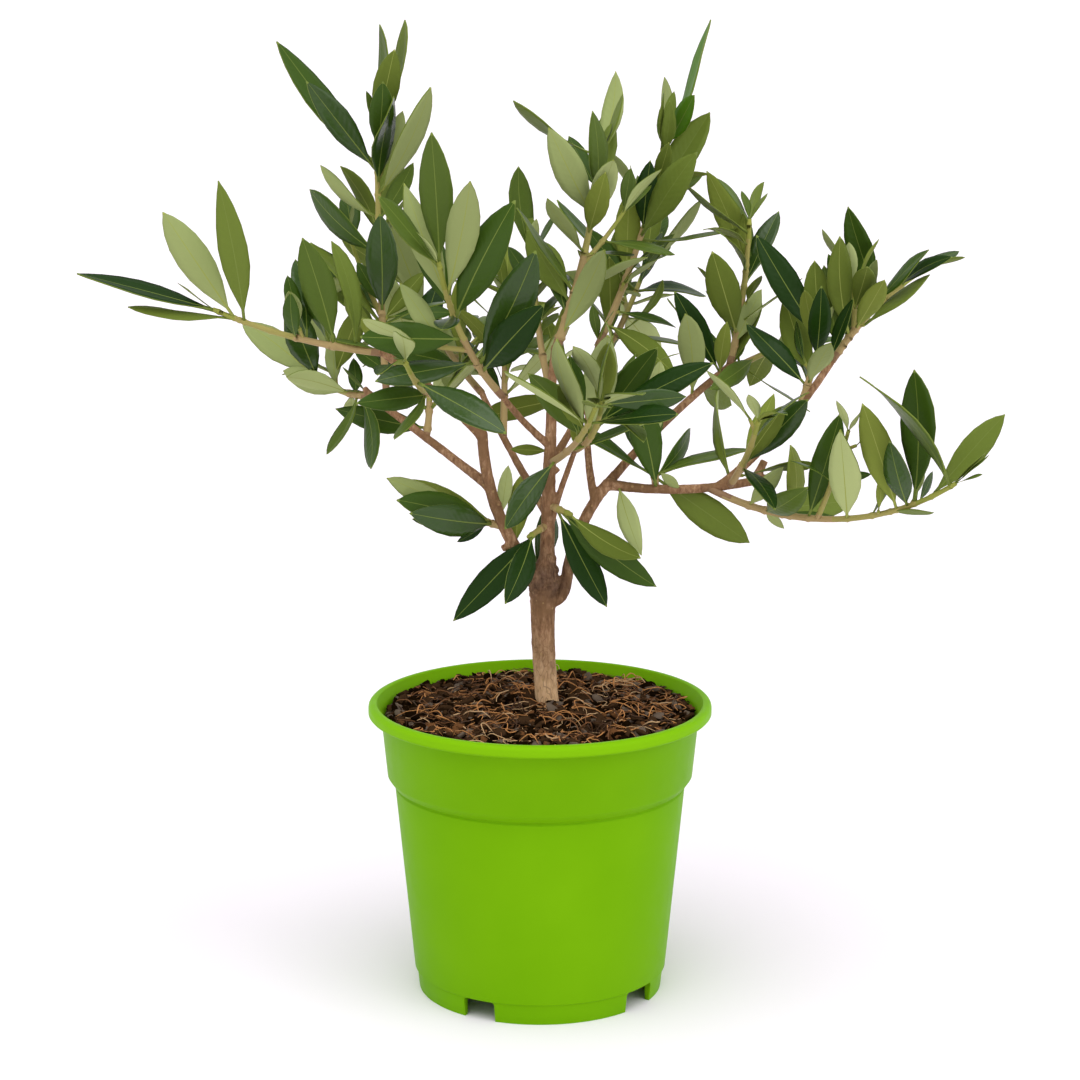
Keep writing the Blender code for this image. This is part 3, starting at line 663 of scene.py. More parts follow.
# %% Scatter the coconut strands
STRANDS = 760
STRAND_STEPS = 9
STRAND_COLOURS = {
    "fibre_orange": (0.560, 0.250, 0.085), "fibre_tan": (0.600, 0.380, 0.200),
    "fibre_brown": (0.190, 0.080, 0.030), "fibre_dark": (0.070, 0.034, 0.018),
}
strands = Heap()
for index in range(STRANDS):
    far = (SOIL_REACH - 3.0) * math.sqrt(rng.uniform(0.01, 1.0))
    angle = rng.uniform(0.0, math.tau)
    x, y = far * math.cos(angle), far * math.sin(angle)
    heading = rng.uniform(0.0, math.tau)
    bend = rng.normal(0.0, 0.24)
    step = rng.uniform(0.8, 2.1)
    rise = rng.uniform(0.5, 2.1)
    arch = 2.2 * rng.uniform() ** 4
    path = []
    for part in np.linspace(0.0, 1.0, STRAND_STEPS):
        lift = rise + arch * math.sin(math.pi * part) * 2.0
        path.append((x, y, soil_top(x, y) + lift + rng.uniform(-0.15, 0.15)))
        heading += bend + rng.normal(0.0, 0.22)
        x += step * math.cos(heading)
        y += step * math.sin(heading)
        if math.hypot(x, y) > SOIL_REACH - 1.0:
            heading += math.pi * 0.7
            x, y = x * 0.96, y * 0.96
    thick = rng.uniform(0.13, 0.30)
    radii = [thick * (0.45 + 0.55 * math.sin(math.pi * (0.15 + 0.75 * i / STRAND_STEPS)))
             for i in range(STRAND_STEPS)]
    corners, faces = tube(path, radii, 4)
    strands.add(corners, faces, int(rng.choice(4, p=(0.36, 0.13, 0.31, 0.20))))
strands.piece("coir_strands", plain_finishes(STRAND_COLOURS, 0.7, 0.2), "soil")

# %% [markdown]
# ## Trunk and boughs
# Each limb is one arc: it starts at a distance along its parent, with a
# heading and a rise, and turns and climbs evenly to its tip. The source of the
# solids uses the same table. Most rows of the boughs aren't a design: a small
# program fitted the arcs to points that were traced, and its numbers were
# pasted in.

# %% The limbs as arcs
SOIL_GAP = 0.3
Limb = namedtuple("Limb", "name parent at length heading rise turn climb base tip")
TRUNK = (  # height above the compost, lean to the right, lean away, radius
    (0.0, 3.0, 0.0, 5.2), (3.0, 2.8, 0.0, 4.8), (10.0, 2.3, 0.0, 4.7), (28.0, 1.3, 0.0, 4.8),
    (44.0, 1.2, 0.0, 5.3), (52.0, 1.7, -0.5, 6.3), (58.0, 2.4, -1.0, 5.0),
    (65.0, 2.9, -1.3, 3.1), (94.0, 3.6, -2.0, 2.7), (114.0, 4.4, 0.0, 2.3),
    (132.0, 4.8, 3.0, 1.9), (147.0, 6.2, 8.0, 1.7),
)
BOUGHS = [Limb(*row) for row in (
    ("bough_left", "trunk", 51, 70, 195, 47, 16, 41, 2.7, 2.2),
    ("bough_left_arm", "bough_left", 69, 56, 197, 46, 5, -11, 2.0, 1.6),
    ("bough_left_low", "bough_left", 48, 70, 145, 28, 0, -1, 1.9, 1.5),
    ("bough_left_inner", "trunk", 108, 37, 222, 35, 4, 13, 1.6, 1.2),
    ("bough_right_elbow", "trunk", 44, 10, 0, -15, 0, 40, 2.8, 2.6),
    ("bough_right", "bough_right_elbow", 9, 52, 8, 90, 12, -42, 2.5, 2.2),
    ("bough_right_arm", "bough_right", 51, 67, 353, -8, -2, 24, 2.0, 1.7),
    ("bough_right_upper", "bough_right", 47, 79, 35, 42, -12, -9, 1.9, 1.5),
    ("bough_right_back", "bough_right", 43, 67, 117, 60, -66, 11, 1.6, 1.2),
    ("bough_right_limb", "bough_right_arm", 46, 70, 7, 39, 18, 15, 1.8, 1.5),
    ("bough_middle", "trunk", 60, 52, 3, 88, -70, -33, 1.5, 1.1),
    ("bough_back_left", "trunk", 80, 62, 125, 38, 15, 20, 1.8, 1.3),
    ("bough_back_right", "trunk", 100, 56, 62, 30, -10, 25, 1.7, 1.2),
)]
PATH_STEPS = 24


def heading_way(heading, rise):
    """The way that points to a heading, raised from the level, both in degrees."""
    heading, rise = math.radians(heading), math.radians(rise)
    level = math.cos(rise)
    return Vector((level * math.cos(heading), level * math.sin(heading), math.sin(rise)))


def limb_path(limb, start):
    """Points along the limb, one for each step."""
    points = [start]
    for i in range(PATH_STEPS):
        part = (i + 0.5) / PATH_STEPS
        way = heading_way(limb.heading + limb.turn * part, limb.rise + limb.climb * part)
        points.append(points[-1] + way * (limb.length / PATH_STEPS))
    return points


def point_at(points, distance):
    """The point that lies a distance along the path, and the way there."""
    for first, second in zip(points, points[1:]):
        span = (second - first).length
        if distance <= span:
            return first.lerp(second, distance / span), (second - first).normalized()
        distance -= span
    return points[-1].copy(), (points[-1] - points[-2]).normalized()


trunk_foot = SOIL_MOUND + SOIL_GAP
paths = {"trunk": [Vector((right, away, trunk_foot + z)) for z, right, away, _ in TRUNK]}
for limb in BOUGHS:
    paths[limb.name] = limb_path(limb, point_at(paths[limb.parent], limb.at)[0])
print("limbs laid out:", len(paths))

# %% [markdown]
# ### Curves with a thickness
# A poly curve with a bevel is a tube whose radius can be set at each point, so
# it tapers as a limb does. The rows of the trunk are few, so eased rows are put
# in between them.

# %% Make splines with a radius at each point
wood_curve = bpy.data.curves.new("wood", "CURVE")
wood_curve.dimensions = "3D"
wood_curve.bevel_depth = MM
wood_curve.bevel_resolution = 4
wood_curve.use_fill_caps = True


def add_spline(points, radii):
    """One limb of the wood: a smooth line with a thickness at each point."""
    line = wood_curve.splines.new("POLY")
    line.points.add(len(points) - 1)
    for spot, point, radius in zip(line.points, points, radii):
        spot.co = (*(Vector(point) * MM), 1.0)
        spot.radius = radius


def smooth_rows(rows, steps):
    """Rows of numbers with eased rows put in between them."""
    rows = [np.array(row, dtype=float) for row in rows]
    ends = [2 * rows[0] - rows[1]] + rows + [2 * rows[-1] - rows[-2]]
    smooth = []
    for a, b, c, d in zip(ends, ends[1:], ends[2:], ends[3:]):
        for t in np.linspace(0.0, 1.0, steps, endpoint=False):
            smooth.append(0.5 * (2 * b + (c - a) * t + (2 * a - 5 * b + 4 * c - d) * t * t
                                 + (3 * b - a - 3 * c + d) * t ** 3))
    return smooth + [rows[-1]]


print("curve for the wood:", wood_curve.name)

# %% [markdown]
# ### Raise the limbs
# Each limb is a little thicker where it leaves its parent. Short stubs stand
# where shoots were pruned. The right bough leaves the trunk level and turns up
# sharply, so its corner is rounded before the spline is laid. All the splines
# are then converted to one mesh.

# %% Raise the limbs as bevelled curves
STUBS = (  # where a shoot was pruned: limb, distance, heading, rise, length, radius
    ("bough_right_arm", 60, 20, 62, 9, 1.7), ("bough_right_upper", 74, 330, 30, 7, 1.3),
    ("bough_left", 22, 205, -20, 5, 1.5), ("bough_left_low", 66, 150, 40, 6, 1.3),
    ("trunk", 60, 300, 30, 6, 2.2), ("trunk", 50, 250, 15, 6.5, 2.0),
    ("trunk", 96, 30, 30, 5, 1.2), ("bough_right", 30, 330, 20, 4, 1.2),
    ("bough_left", 40, 300, 20, 4, 1.2), ("trunk", 124, 250, 40, 4, 1.0),
)
ROOT_DEPTH = 2.0  # the trunk runs on this far below the mound
ROOT_RADIUS = 6.2
SWELL = 0.35  # how much thicker a limb is where it leaves its parent
SWELL_STEPS = 1.6
ELBOW = (3.3, 3.1, 3.0, 2.9, 2.8, 2.8, 2.7)  # radii where the right bough turns up
ELBOW_ROUNDS = 10
trunk_rows = smooth_rows(TRUNK, 4)
add_spline([(right, away, SOIL_MOUND - ROOT_DEPTH + z) for z, right, away, _ in trunk_rows[:2]],
           [ROOT_RADIUS, ROOT_RADIUS])
add_spline([(right, away, trunk_foot + z) for z, right, away, _ in trunk_rows],
           [row[3] for row in trunk_rows])
for limb in BOUGHS:
    if limb.name == "bough_right_elbow":
        continue
    points = paths[limb.name]
    radii = []
    for i in range(PATH_STEPS + 1):
        taper = limb.base + (limb.tip - limb.base) * i / PATH_STEPS
        radii.append(taper * (1.0 + SWELL * math.exp(-i / SWELL_STEPS)))
    if limb.name == "bough_right":  # it turns up out of the elbow in one round bend
        points = paths["bough_right_elbow"][::4] + points[3:]
        radii = [*ELBOW, *radii[3:]]
        for _ in range(ELBOW_ROUNDS):
            middle = [(a + b * 2 + c) / 4 for a, b, c in zip(points, points[1:], points[2:])]
            points = points[:1] + middle + points[-1:]
    add_spline(points, radii)
for name, at, heading, rise, length, radius in STUBS:
    root = point_at(paths[name], at)[0]
    way = heading_way(heading, rise)
    add_spline([root, root + way * length * 0.6, root + way * length],
               [radius * 1.25, radius, radius * 0.92])
wood_object = bpy.data.objects.new("trunk_and_boughs", wood_curve)
bpy.context.scene.collection.objects.link(wood_object)
only(wood_object)
bpy.ops.object.convert(target="MESH")
wood = bpy.context.object
print("splines of wood:", len(wood_curve.splines))

# %% [markdown]
# ### One skin
# Where shoots were cut from the trunk the wood has healed in knobs. Balls are
# joined to the limbs there. Remesh rebuilds the whole as one closed skin, and
# Smooth takes the steps of its grid away.

# %% Add the knots and grow one skin
VOXEL = 0.42
KNOTS = (  # height above the compost, heading round the trunk, how far out, radius
    (57.0, 275.0, 3.4, 2.9), (51.0, 310.0, 3.6, 3.1), (49.0, 225.0, 3.8, 3.0),
    (54.0, 180.0, 3.6, 2.8), (46.0, 20.0, 3.4, 3.0), (55.0, 60.0, 3.2, 2.8),
    (60.0, 130.0, 2.4, 2.4),
)
knots = []
for height, heading, out, radius in KNOTS:
    centre = point_at(paths["trunk"], height)[0] + heading_way(heading, 0.0) * out
    nothing_selected()
    bpy.ops.mesh.primitive_ico_sphere_add(subdivisions=2, radius=radius * MM,
                                          location=centre * MM)
    knots.append(bpy.context.object)
only(wood)
for knot in knots:
    knot.select_set(True)
bpy.ops.object.join()
apply_modifier(wood, "REMESH", mode="VOXEL", voxel_size=VOXEL * MM)
apply_modifier(wood, "SMOOTH", factor=0.5, iterations=3)
print("wood:", len(wood.data.polygons), "faces after the remesh")

# %% [markdown]
# ### Bark relief
# Young olive bark is mostly smooth, with shallow wrinkles along the limb, rings
# at old nodes and a knobbly patch where shoots were pruned. A texture in a
# Displace modifier can't follow the limbs, so each corner of the skin is moved
# in code: noise is read along the nearest limb, drawn out lengthwise.

# %% Raise the relief
WRINKLE = 0.16
LUMP = 0.34
RING = 0.30
RIDGE = 0.28
KNOT_CENTRE = 53.0  # height above the compost
KNOT_SPREAD = 8.0
TRUNK_REACH = 8.5
CUT_DEPTH = 1.0
tracks = []
for name, points in paths.items():
    lengths = [0.0]
    for first, second in zip(points, points[1:]):
        lengths.append(lengths[-1] + (second - first).length)
    total = lengths[-1]
    for i in range(int(total) + 1):
        spot, way = point_at(points, i)
        young = 0.0 if name == "trunk" else min(1.0, i / total)
        tracks.append((spot, way, float(i), young))
tree = KDTree(len(tracks))
for index, (spot, _, _, _) in enumerate(tracks):
    tree.insert(spot, index)
tree.balance()
wood.data.update()
corner_normals = [v.normal.copy() for v in wood.data.vertices]
for vert, normal in zip(wood.data.vertices, corner_normals):
    here = vert.co / MM
    spot, index, _ = tree.find(here)
    _, way, along, young = tracks[index]
    offset = here - spot
    along += offset.dot(way)
    drawn = (offset - way * offset.dot(way)) * 1.1 + way * along * 0.16
    wrinkle = noise.fractal(drawn, 0.7, 2.1, 3)
    lump = noise.noise(here * 0.42)
    ring = max(0.0, noise.noise(Vector((along * 0.9, 7.0, 0.0))) - 0.28)
    ridge = math.sin(along * 2.1 + 5.0 * noise.noise(here * 0.25))
    from_knot = (here.z - SOIL_MOUND - KNOT_CENTRE) / KNOT_SPREAD
    knotty = math.exp(-from_knot ** 2) if here.xy.length < TRUNK_REACH else 0.0
    stout = max(0.45, 1.0 - 0.5 * young)
    raise_by = (WRINKLE * wrinkle * stout * (0.7 + 1.4 * knotty)
                + LUMP * lump * (0.25 + 0.9 * knotty)
                + RING * ring * stout + RIDGE * ridge * knotty)
    vert.co = (here + normal * raise_by) * MM
edit_all(wood)
bpy.ops.mesh.bisect(plane_co=(0.0, 0.0, (SOIL_MOUND - CUT_DEPTH) * MM),
                    plane_no=(0.0, 0.0, 1.0), clear_inner=True, use_fill=True)
bpy.ops.object.mode_set(mode="OBJECT")
bpy.ops.object.shade_smooth()
print("bark corners moved:", len(corner_normals))

# %% [markdown]
# ### Bark colour
# The lowest wood is bleached to grey tan, the pruned patch is dark brown, and
# the boughs are a warm pinkish brown with pale specks where leaves once stood.
# Long streaks come from noise that is drawn out upwards, and fine wavy cracks
# are the contour lines of a noise.

# %% The finish of the bark
BLEACHED = (0.125, 0.152)  # heights in metres over which each tone fades out or in
STAINED = (0.124, 0.144)
KNOT_FOOT = (0.160, 0.168)
KNOT_HEAD = (0.176, 0.190)
CRACK_LINES = 70.0
bark_finish = new_finish("olive_bark", (0.27, 0.16, 0.09), 0.8, 0.15)
work = Nodes(bark_finish)
place = work.place()
height = work.split(place)["Z"]
streaks = work.noise(work.stretch(place, (1.0, 1.0, 0.3)), 700.0, 5.0, 0.62)
warm = work.ramp(streaks, ((0.30, (0.140, 0.067, 0.033)), (0.50, (0.318, 0.175, 0.090)),
                           (0.72, (0.510, 0.320, 0.185))))
pale = work.ramp(streaks, ((0.30, (0.480, 0.293, 0.146)), (0.50, (0.670, 0.435, 0.240)),
                           (0.72, (0.790, 0.545, 0.330))))
dark = work.ramp(streaks, ((0.30, (0.045, 0.025, 0.015)), (0.70, (0.190, 0.110, 0.070))))
swirls = work.noise(work.stretch(place, (1.0, 1.0, 0.45)), 150.0, 2.0)
lines = work.sum("SINE", work.sum("MULTIPLY", swirls, CRACK_LINES))
cracks = work.span(lines, 0.80, 1.0, 0.0, 0.55)
stain = work.span(work.noise(place, 75.0, 4.0, 0.65), 0.42, 0.58, 0.0, 0.85)
stain = work.sum("MULTIPLY", stain, work.span(height, *STAINED, 0.0, 1.0))
knot = work.sum("MULTIPLY", work.span(height, *KNOT_FOOT, 0.0, 1.0),
                work.span(height, *KNOT_HEAD, 1.0, 0.0))
patches = work.span(work.noise(place, 120.0, 3.0), 0.35, 0.6, 0.25, 0.85)
specks = work.add("TexVoronoi", Vector=place, Scale=260.0).outputs["Distance"]
bark = work.blend(work.span(height, *BLEACHED, 1.0, 0.0), warm, pale)
bark = work.blend(cracks, bark, (0.190, 0.105, 0.055))
bark = work.blend(stain, bark, (0.200, 0.108, 0.050))
bark = work.blend(work.sum("MULTIPLY", knot, patches), bark, dark)
bark = work.blend(work.span(specks, 0.10, 0.17, 0.7, 0.0), bark, (0.42, 0.27, 0.12))
relief = work.bump(streaks, 0.0005, 0.6, work.bump(cracks, 0.0004, -0.5))
fine = work.bump(work.noise(place, 2200.0, 3.0), 0.0002, 0.6, relief)
work.shade(Base_Color=bark, Normal=fine)
wood.data.materials.clear()
wood.data.materials.append(bark_finish)
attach(wood, "root")
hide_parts(*paths)
print("wood replaces", len(paths), "solids")

# %% [markdown]
# ## Shoots
# The crown is made of leafy shoots. Each has a stem that leaves a limb, pairs
# of leaves set a quarter turn round from the last pair, and a few side twigs.
# Leaves that give the crown its outline are listed one by one, and seeded
# pairs fill the rest. The source of the solids has the same shoots and draws
# the same pairs in the same order; here some leaves are added and some are
# nipped off. The rows of these tables are data and not a design to learn from:
# small search programs chose them beforehand for the outline of the crown, and
# only a few were written or altered.

# %% The shoots
Shoot = namedtuple("Shoot", "name limb pairs leaf roll twigs seed")
STEM_TIP = 0.65
FOLIAGE = "foliage_"


def shoot(name, parent, at, length, heading, rise, turn, climb, pairs, leaf, roll, twigs, seed,
          base=1.15):
    """One leafy shoot on its parent limb."""
    name = FOLIAGE + name
    limb = Limb(name, parent, at, length, heading, rise, turn, climb, base, STEM_TIP)
    return Shoot(name, limb, pairs, leaf, roll, twigs, seed)


def full_names(table):
    """The table by the full names of the shoots, or of the limbs that are listed in it."""
    return {name if name in paths else FOLIAGE + name: rows for name, rows in table.items()}


SHOOTS = [shoot(*row) for row in (
    ("top", "trunk", 146, 82, 25, 67, -1, 18, 3, 41, 80, 1, 314, 1.4),
    ("left_tall", "bough_left_low", 58, 114, 216, 86, 42, 3, 3, 41, 30, 1, 666),
    ("left_reach", "bough_left_arm", 54, 68, 185, 6, 6, 19, 3, 38, 80, 0, 126),
    ("left_low", "bough_left_low", 68, 35, 142, -6, -3, 31, 2, 35, 10, 1, 1570),
    ("left_inner", "bough_left_inner", 35, 72, 228, 40, 22, 24, 3, 41, 70, 1, 640),
    ("front", "trunk", 101, 84, 288, 18, -10, 14, 4, 43, 50, 0, 518),
    ("middle", "bough_middle", 51, 62, 286, 16, -12, 22, 3, 48, 0, 1, 384, 1.0),
    ("right_back", "bough_right_back", 65, 95, 48, 53, -7, 22, 3, 30, 20, 0, 652),
    ("right_up", "bough_right_upper", 77, 62, 57, 62, 13, 21, 3, 35, 60, 0, 868),
    ("right_end", "bough_right_upper", 68, 46, 27, 23, 16, -14, 3, 39, 80, 0, 202),
    ("right_tip", "bough_right_limb", 68, 54, 27, 52, -6, -24, 3, 39, 0, 1, 592),
    ("right_fill", "bough_right_limb", 46, 30, 40, 62, 0, 10, 2, 43, 0, 0, 410),
    ("right_reach", "bough_right_arm", 41, 112, 332, -22, -7, 57, 3, 24, 30, 1, 340),
    ("right_near", "bough_right_arm", 50, 64, 282, 30, -10, 6, 3, 39, 20, 0, 735),
    ("right_inner", "bough_right_arm", 20, 18, 100, 62, 0, 10, 2, 46, 80, 0, 327),
    ("low_left", "trunk", 76, 14, 235, -12, 0, 0, 1, 46, 80, 0, 1049),
    ("low_right", "trunk", 84, 14, 312, -8, 0, 0, 1, 50, 70, 0, 698),
    ("left_skirt", "bough_left", 30, 16, 180, 14, 0, 10, 1, 45, 20, 0, 1430),
    ("left_hang", "bough_left_arm", 26, 70, 262, 6, 0, 25, 3, 44, 70, 0, 670),
    ("left_back", "bough_left_low", 36, 46, 80, 40, 30, 10, 3, 50, 40, 0, 271),
    ("back_left", "bough_back_left", 61, 68, 118, 20, 14, 30, 4, 44, 10, 1, 84),
    ("back_middle", "bough_back_left", 40, 60, 88, 58, 0, 15, 4, 35, 40, 0, 360),
    ("back_right", "bough_back_right", 55, 62, 72, 22, -10, 26, 4, 47, 70, 1, 729),
    ("back_low", "bough_back_right", 34, 52, 104, 0, 0, 20, 3, 39, 70, 0, 197),
    ("back_top", "trunk", 128, 62, 110, 48, -10, 30, 4, 32, 20, 0, 468),
)]
print("shoots:", len(SHOOTS))

# %% The listed leaves of the outline
SEEN = full_names({  # distance along the stem, heading, rise, length, turn of the upper side, bend
    "top": (
        (14, 108, 45, 37, 11, 38), (6, 312, 55, 46, 165, 38), (20, 135, 48, 36, -27, 6),
        (41, 238, 40, 37, 115, -11), (56, 232, 52, 47, 178, -38), (65, 264, 64, 38, 29, 38),
        (82, 70, 58, 39, 148, 38), (85, 204, 31, 44, -88, 20),
    ),
    "left_tall": (
        (39, 89, 85, 42, 12, 38), (39, 144, 36, 44, 18, -38), (63, 140, 32, 46, -35, 29),
        (70, 126, 43, 40, 144, 38), (78, 145, 34, 36, 113, -38), (87, 327, 59, 51, 230, -25),
        (98, 164, 50, 65, 39, -16), (96, 205, 51, 47, 7, -22), (105, 283, 60, 32, 21, 28),
        (110, 48, 69, 49, -85, -29), (115, 83, 80, 44, -73, -38),
    ),
    "left_reach": (
        (19, 211, 73, 45, 28, 21), (34, 268, 52, 25, -17, 38), (55, 253, 69, 60, 17, 38),
        (57, 183, 7, 43, -80, -8), (59, 201, 57, 50, 185, -15), (67, 182, 15, 56, 62, 5),
    ),
    "left_low": (
        (2, 280, -44, 38, 51, -38), (8, 96, 35, 22, -5, -33), (7, 236, -45, 31, 66, -38),
        (12, 152, 13, 33, 173, -38), (20, 99, 64, 23, 193, -35), (29, 241, 58, 44, -12, 20),
        (30, 156, 31, 45, 212, -33),
    ),
    "left_inner": (
        (16, 311, 39, 48, -12, 38), (20, 314, 55, 54, 14, 38), (35, 188, 2, 40, 4, 38),
        (52, 193, 70, 50, 158, -14), (45, 314, 55, 58, -13, 38), (56, 294, 62, 56, 156, 11),
        (70, 235, 85, 51, -11, -12),
    ),
    "front": ((56, 232, 50, 26, 187, -33), (63, 213, 65, 46, 120, -38)),
    "middle": ((23, 291, 66, 48, 175, -3), (28, 331, 52, 47, -1, -38)),
    "right_back": (
        (32, 84, 70, 37, 181, 33), (60, 112, 47, 26, 249, 3), (66, 34, 50, 47, -13, -33),
        (88, 39, 66, 58, -81, -20), (90, 89, 63, 30, 123, 4),
    ),
    "right_up": (
        (9, 55, 47, 27, 166, -38), (14, 242, 55, 46, 178, -38), (34, 57, 45, 41, -52, 3),
        (43, 128, 56, 45, 164, 38), (61, 69, 38, 27, 42, -38),
    ),
    "right_tip": (
        (8, 37, 56, 41, -62, -5), (5, 132, 75, 35, -9, 15), (12, 252, 64, 48, 202, 38),
        (31, 200, 69, 43, 8, -34), (43, 317, 29, 28, -57, 38),
    ),
    "right_fill": ((8, 148, 40, 37, 12, 32), (13, 108, 44, 40, 186, 27), (32, 149, 54, 51, 8, -26)),
    "right_reach": (
        (19, 305, 42, 29, 165, -38), (26, 31, -41, 13, 170, 36), (37, 265, 56, 39, 220, -38),
        (45, 319, 73, 48, -3, 30), (62, 248, 66, 51, 176, -31), (84, 219, 65, 49, 180, -35),
        (81, 319, 5, 20, 52, -8), (92, 254, 79, 55, -46, -24), (89, 241, 55, 36, -17, 38),
        (100, 359, 50, 42, 21, -4), (112, 207, 46, 63, -69, -34),
    ),
    "right_near": ((23, 45, 55, 32, 172, -11), (21, 320, 44, 43, -17, -30)),
    "right_inner": ((4, 53, 33, 31, 29, 38), (4, 333, -30, 47, -4, -27), (5, 119, 55, 45, 8, -38)),
    "low_left": ((4, 193, -45, 51, 6, 7), (17, 247, -40, 36, -14, 38)),
    "low_right": (
        (7, 344, -36, 50, 18, 31), (5, 332, -59, 45, -12, -32), (14, 318, -19, 41, 136, 38),
    ),
    "left_skirt": (
        (4, 225, 13, 46, 5, 38), (5, 216, 18, 48, 29, 26), (7, 211, -25, 16, -14, 38),
        (16, 223, 24, 45, 248, -4),
    ),
    "left_hang": ((8, 224, 1, 40, 11, 38),),
    "left_back": ((5, 148, 5, 47, 23, -38),),
})
print("listed leaves:", sum(len(rows) for rows in SEEN.values()))

# %% Leaves that are added or nipped off
MORE = full_names({  # leaves that the solids leave out, in the same columns; some stand on boughs
    "trunk": ((106, 172, 6, 17, 192, 20), (100, 24, 14, 10, 177, -17)),
    "bough_left": ((6, 73, 45, 36, 18, 33), (20, 64, 81, 29, 179, 9), (34, 63, 71, 22, 179, 2)),
    "bough_right_upper": (
        (56, 251, 73, 38, 148, 38), (62, 60, -21, 31, -24, -25), (72, 222, 53, 42, 4, 0),
        (72, 279, 62, 27, 158, -38),
    ),
    "bough_right_limb": ((5, 103, 62, 39, -58, 24),),
    "bough_right_arm": (
        (5, 287, -39, 37, 190, -37), (30, 216, 37, 13, 183, -38), (20, 227, 71, 47, 14, 38),
    ),
    "back_top": ((62, 120, 73, 39, 52, -35),),
    "back_middle": ((59, 88, 51, 28, 187, -32),),
    "back_left": ((20, 221, 15, 40, 28, 38), (20, 130, 40, 40, 192, 35)),
    "back_right": (
        (22, 48, 33, 36, 88, 38), (49, 351, -19, 24, 123, -37), (50, 62, 45, 27, 28, 1),
        (60, 305, 39, 27, -31, 38),
    ),
    "right_up": (
        (6, 199, 39, 38, 52, -38), (13, 76, 50, 21, 178, 32), (44, 109, 82, 22, 167, 22),
        (51, 224, 18, 29, 112, 38), (56, 206, 35, 38, -72, 4),
    ),
    "right_back": (
        (10, 325, -28, 38, 140, -35), (25, 95, 56, 30, 160, 9), (32, 148, 45, 28, 8, -38),
        (49, 26, 6, 42, -87, -24), (50, 332, 56, 45, -28, 15), (53, 284, 70, 30, -8, 36),
        (72, 296, 59, 22, 187, -28), (85, 281, 63, 26, 18, 37), (89, 301, 47, 30, -29, -25),
    ),
    "right_end": ((21, 207, -21, 36, 4, 36),),
    "front": ((9, 225, -40, 38, -8, -36), (57, 235, 49, 24, 170, 20)),
    "middle": ((60, 3, 5, 32, 0, 1), (48, 279, 61, 36, 170, 20)),
    "right_inner": ((18, 7, -16, 52, 52, -17),),
    "top": ((49, 288, 52, 33, 178, -38), (66, 77, 56, 40, -21, -38), (67, 132, 51, 26, 2, -12)),
    "left_tall": (
        (16, 132, 19, 22, 12, -24), (28, 230, 46, 31, 129, -37), (36, 39, 41, 28, 180, -8),
        (43, 153, 56, 20, 18, -14), (77, 29, 55, 28, -28, -38), (90, 302, 68, 42, 28, -36),
    ),
    "left_reach": ((11, 133, 72, 44, 64, 38), (30, 103, 49, 39, 35, 38)),
    "left_hang": ((21, 142, 3, 25, 187, 19),),
    "right_fill": ((24, 239, 61, 29, 189, 36), (20, 269, 58, 37, 0, 38)),
    "right_reach": ((27, 304, 40, 41, -13, 38), (26, 30, 0, 44, -25, -5), (94, 58, 40, 16, 18, 19)),
    "right_near": ((23, 312, 50, 35, 170, -20),),
})
PRUNED = full_names({  # seeded leaves that are nipped off, so that sky and bare wood show
    "top": (4, 7), "left_tall": (3, 4), "left_reach": (1, 2, 3, 4, 5), "left_low": (3,),
    "left_inner": (8,), "front": (1, 3), "middle": (0, 3), "right_up": (5,), "right_tip": (2, 3, 5),
    "right_reach": (0, 2, 5, 8, 9), "right_near": (1, 3, 4), "left_hang": (2,), "low_left": (0, 1),
    "low_right": (0, 1),
})
print("leaves added:", sum(len(rows) for rows in MORE.values()))
print("leaves nipped off:", sum(len(rows) for rows in PRUNED.values()))

# %% [markdown]
# ### The rule of the pairs
# Olive leaves stand in pairs, and each pair is turned a quarter round the stem
# from the last. The rule is short, so it is written out as a function: given a
# path and a seed, it sets the pairs, and it serves stems and side twigs alike.
# A number from the seed decides how each leaf spreads, bends and turns.

# %% The rule that sets the leaves
FIRST_LEAF = 5.0
LAST_LEAF = 2.5
TWIG_PAIRS = 2
TWIG_LEAF = 0.85
STEM_FIRST = 0.3  # where the lowest pair stands, as a part of the stem or twig
TWIG_FIRST = 0.45
JITTER = 20.0  # degrees, as are the spreads, bends and turns
SPREAD = (38.0, 68.0)
TIP_SPREAD = (12.0, 30.0)
SIZES = (0.80, 1.14)
TIP_SIZE = 0.80
BEND = (-12.0, 34.0)
TURN = 38.0
FRONT = Vector((0.3, -0.9, 0.3)).normalized()
UP = Vector((0.0, 0.0, 1.0))
Leaf = namedtuple("Leaf", "root way face length bend tint shade", defaults=(0.5,))


def radial(along, degrees):
    """A way square to the stem, turned round it from the front."""
    first = (FRONT - along * FRONT.dot(along)).normalized()
    second = along.cross(first)
    angle = math.radians(degrees)
    return first * math.cos(angle) + second * math.sin(angle)


def branch_way(along, around, spread):
    """The way that leaves the stem at an angle, in radians, turned round it in degrees."""
    return along * math.cos(spread) + radial(along, around) * math.sin(spread)


def leaf_place(at, length):
    """The distance along a stem, kept clear of both its ends."""
    return max(FIRST_LEAF, min(at, length - LAST_LEAF))


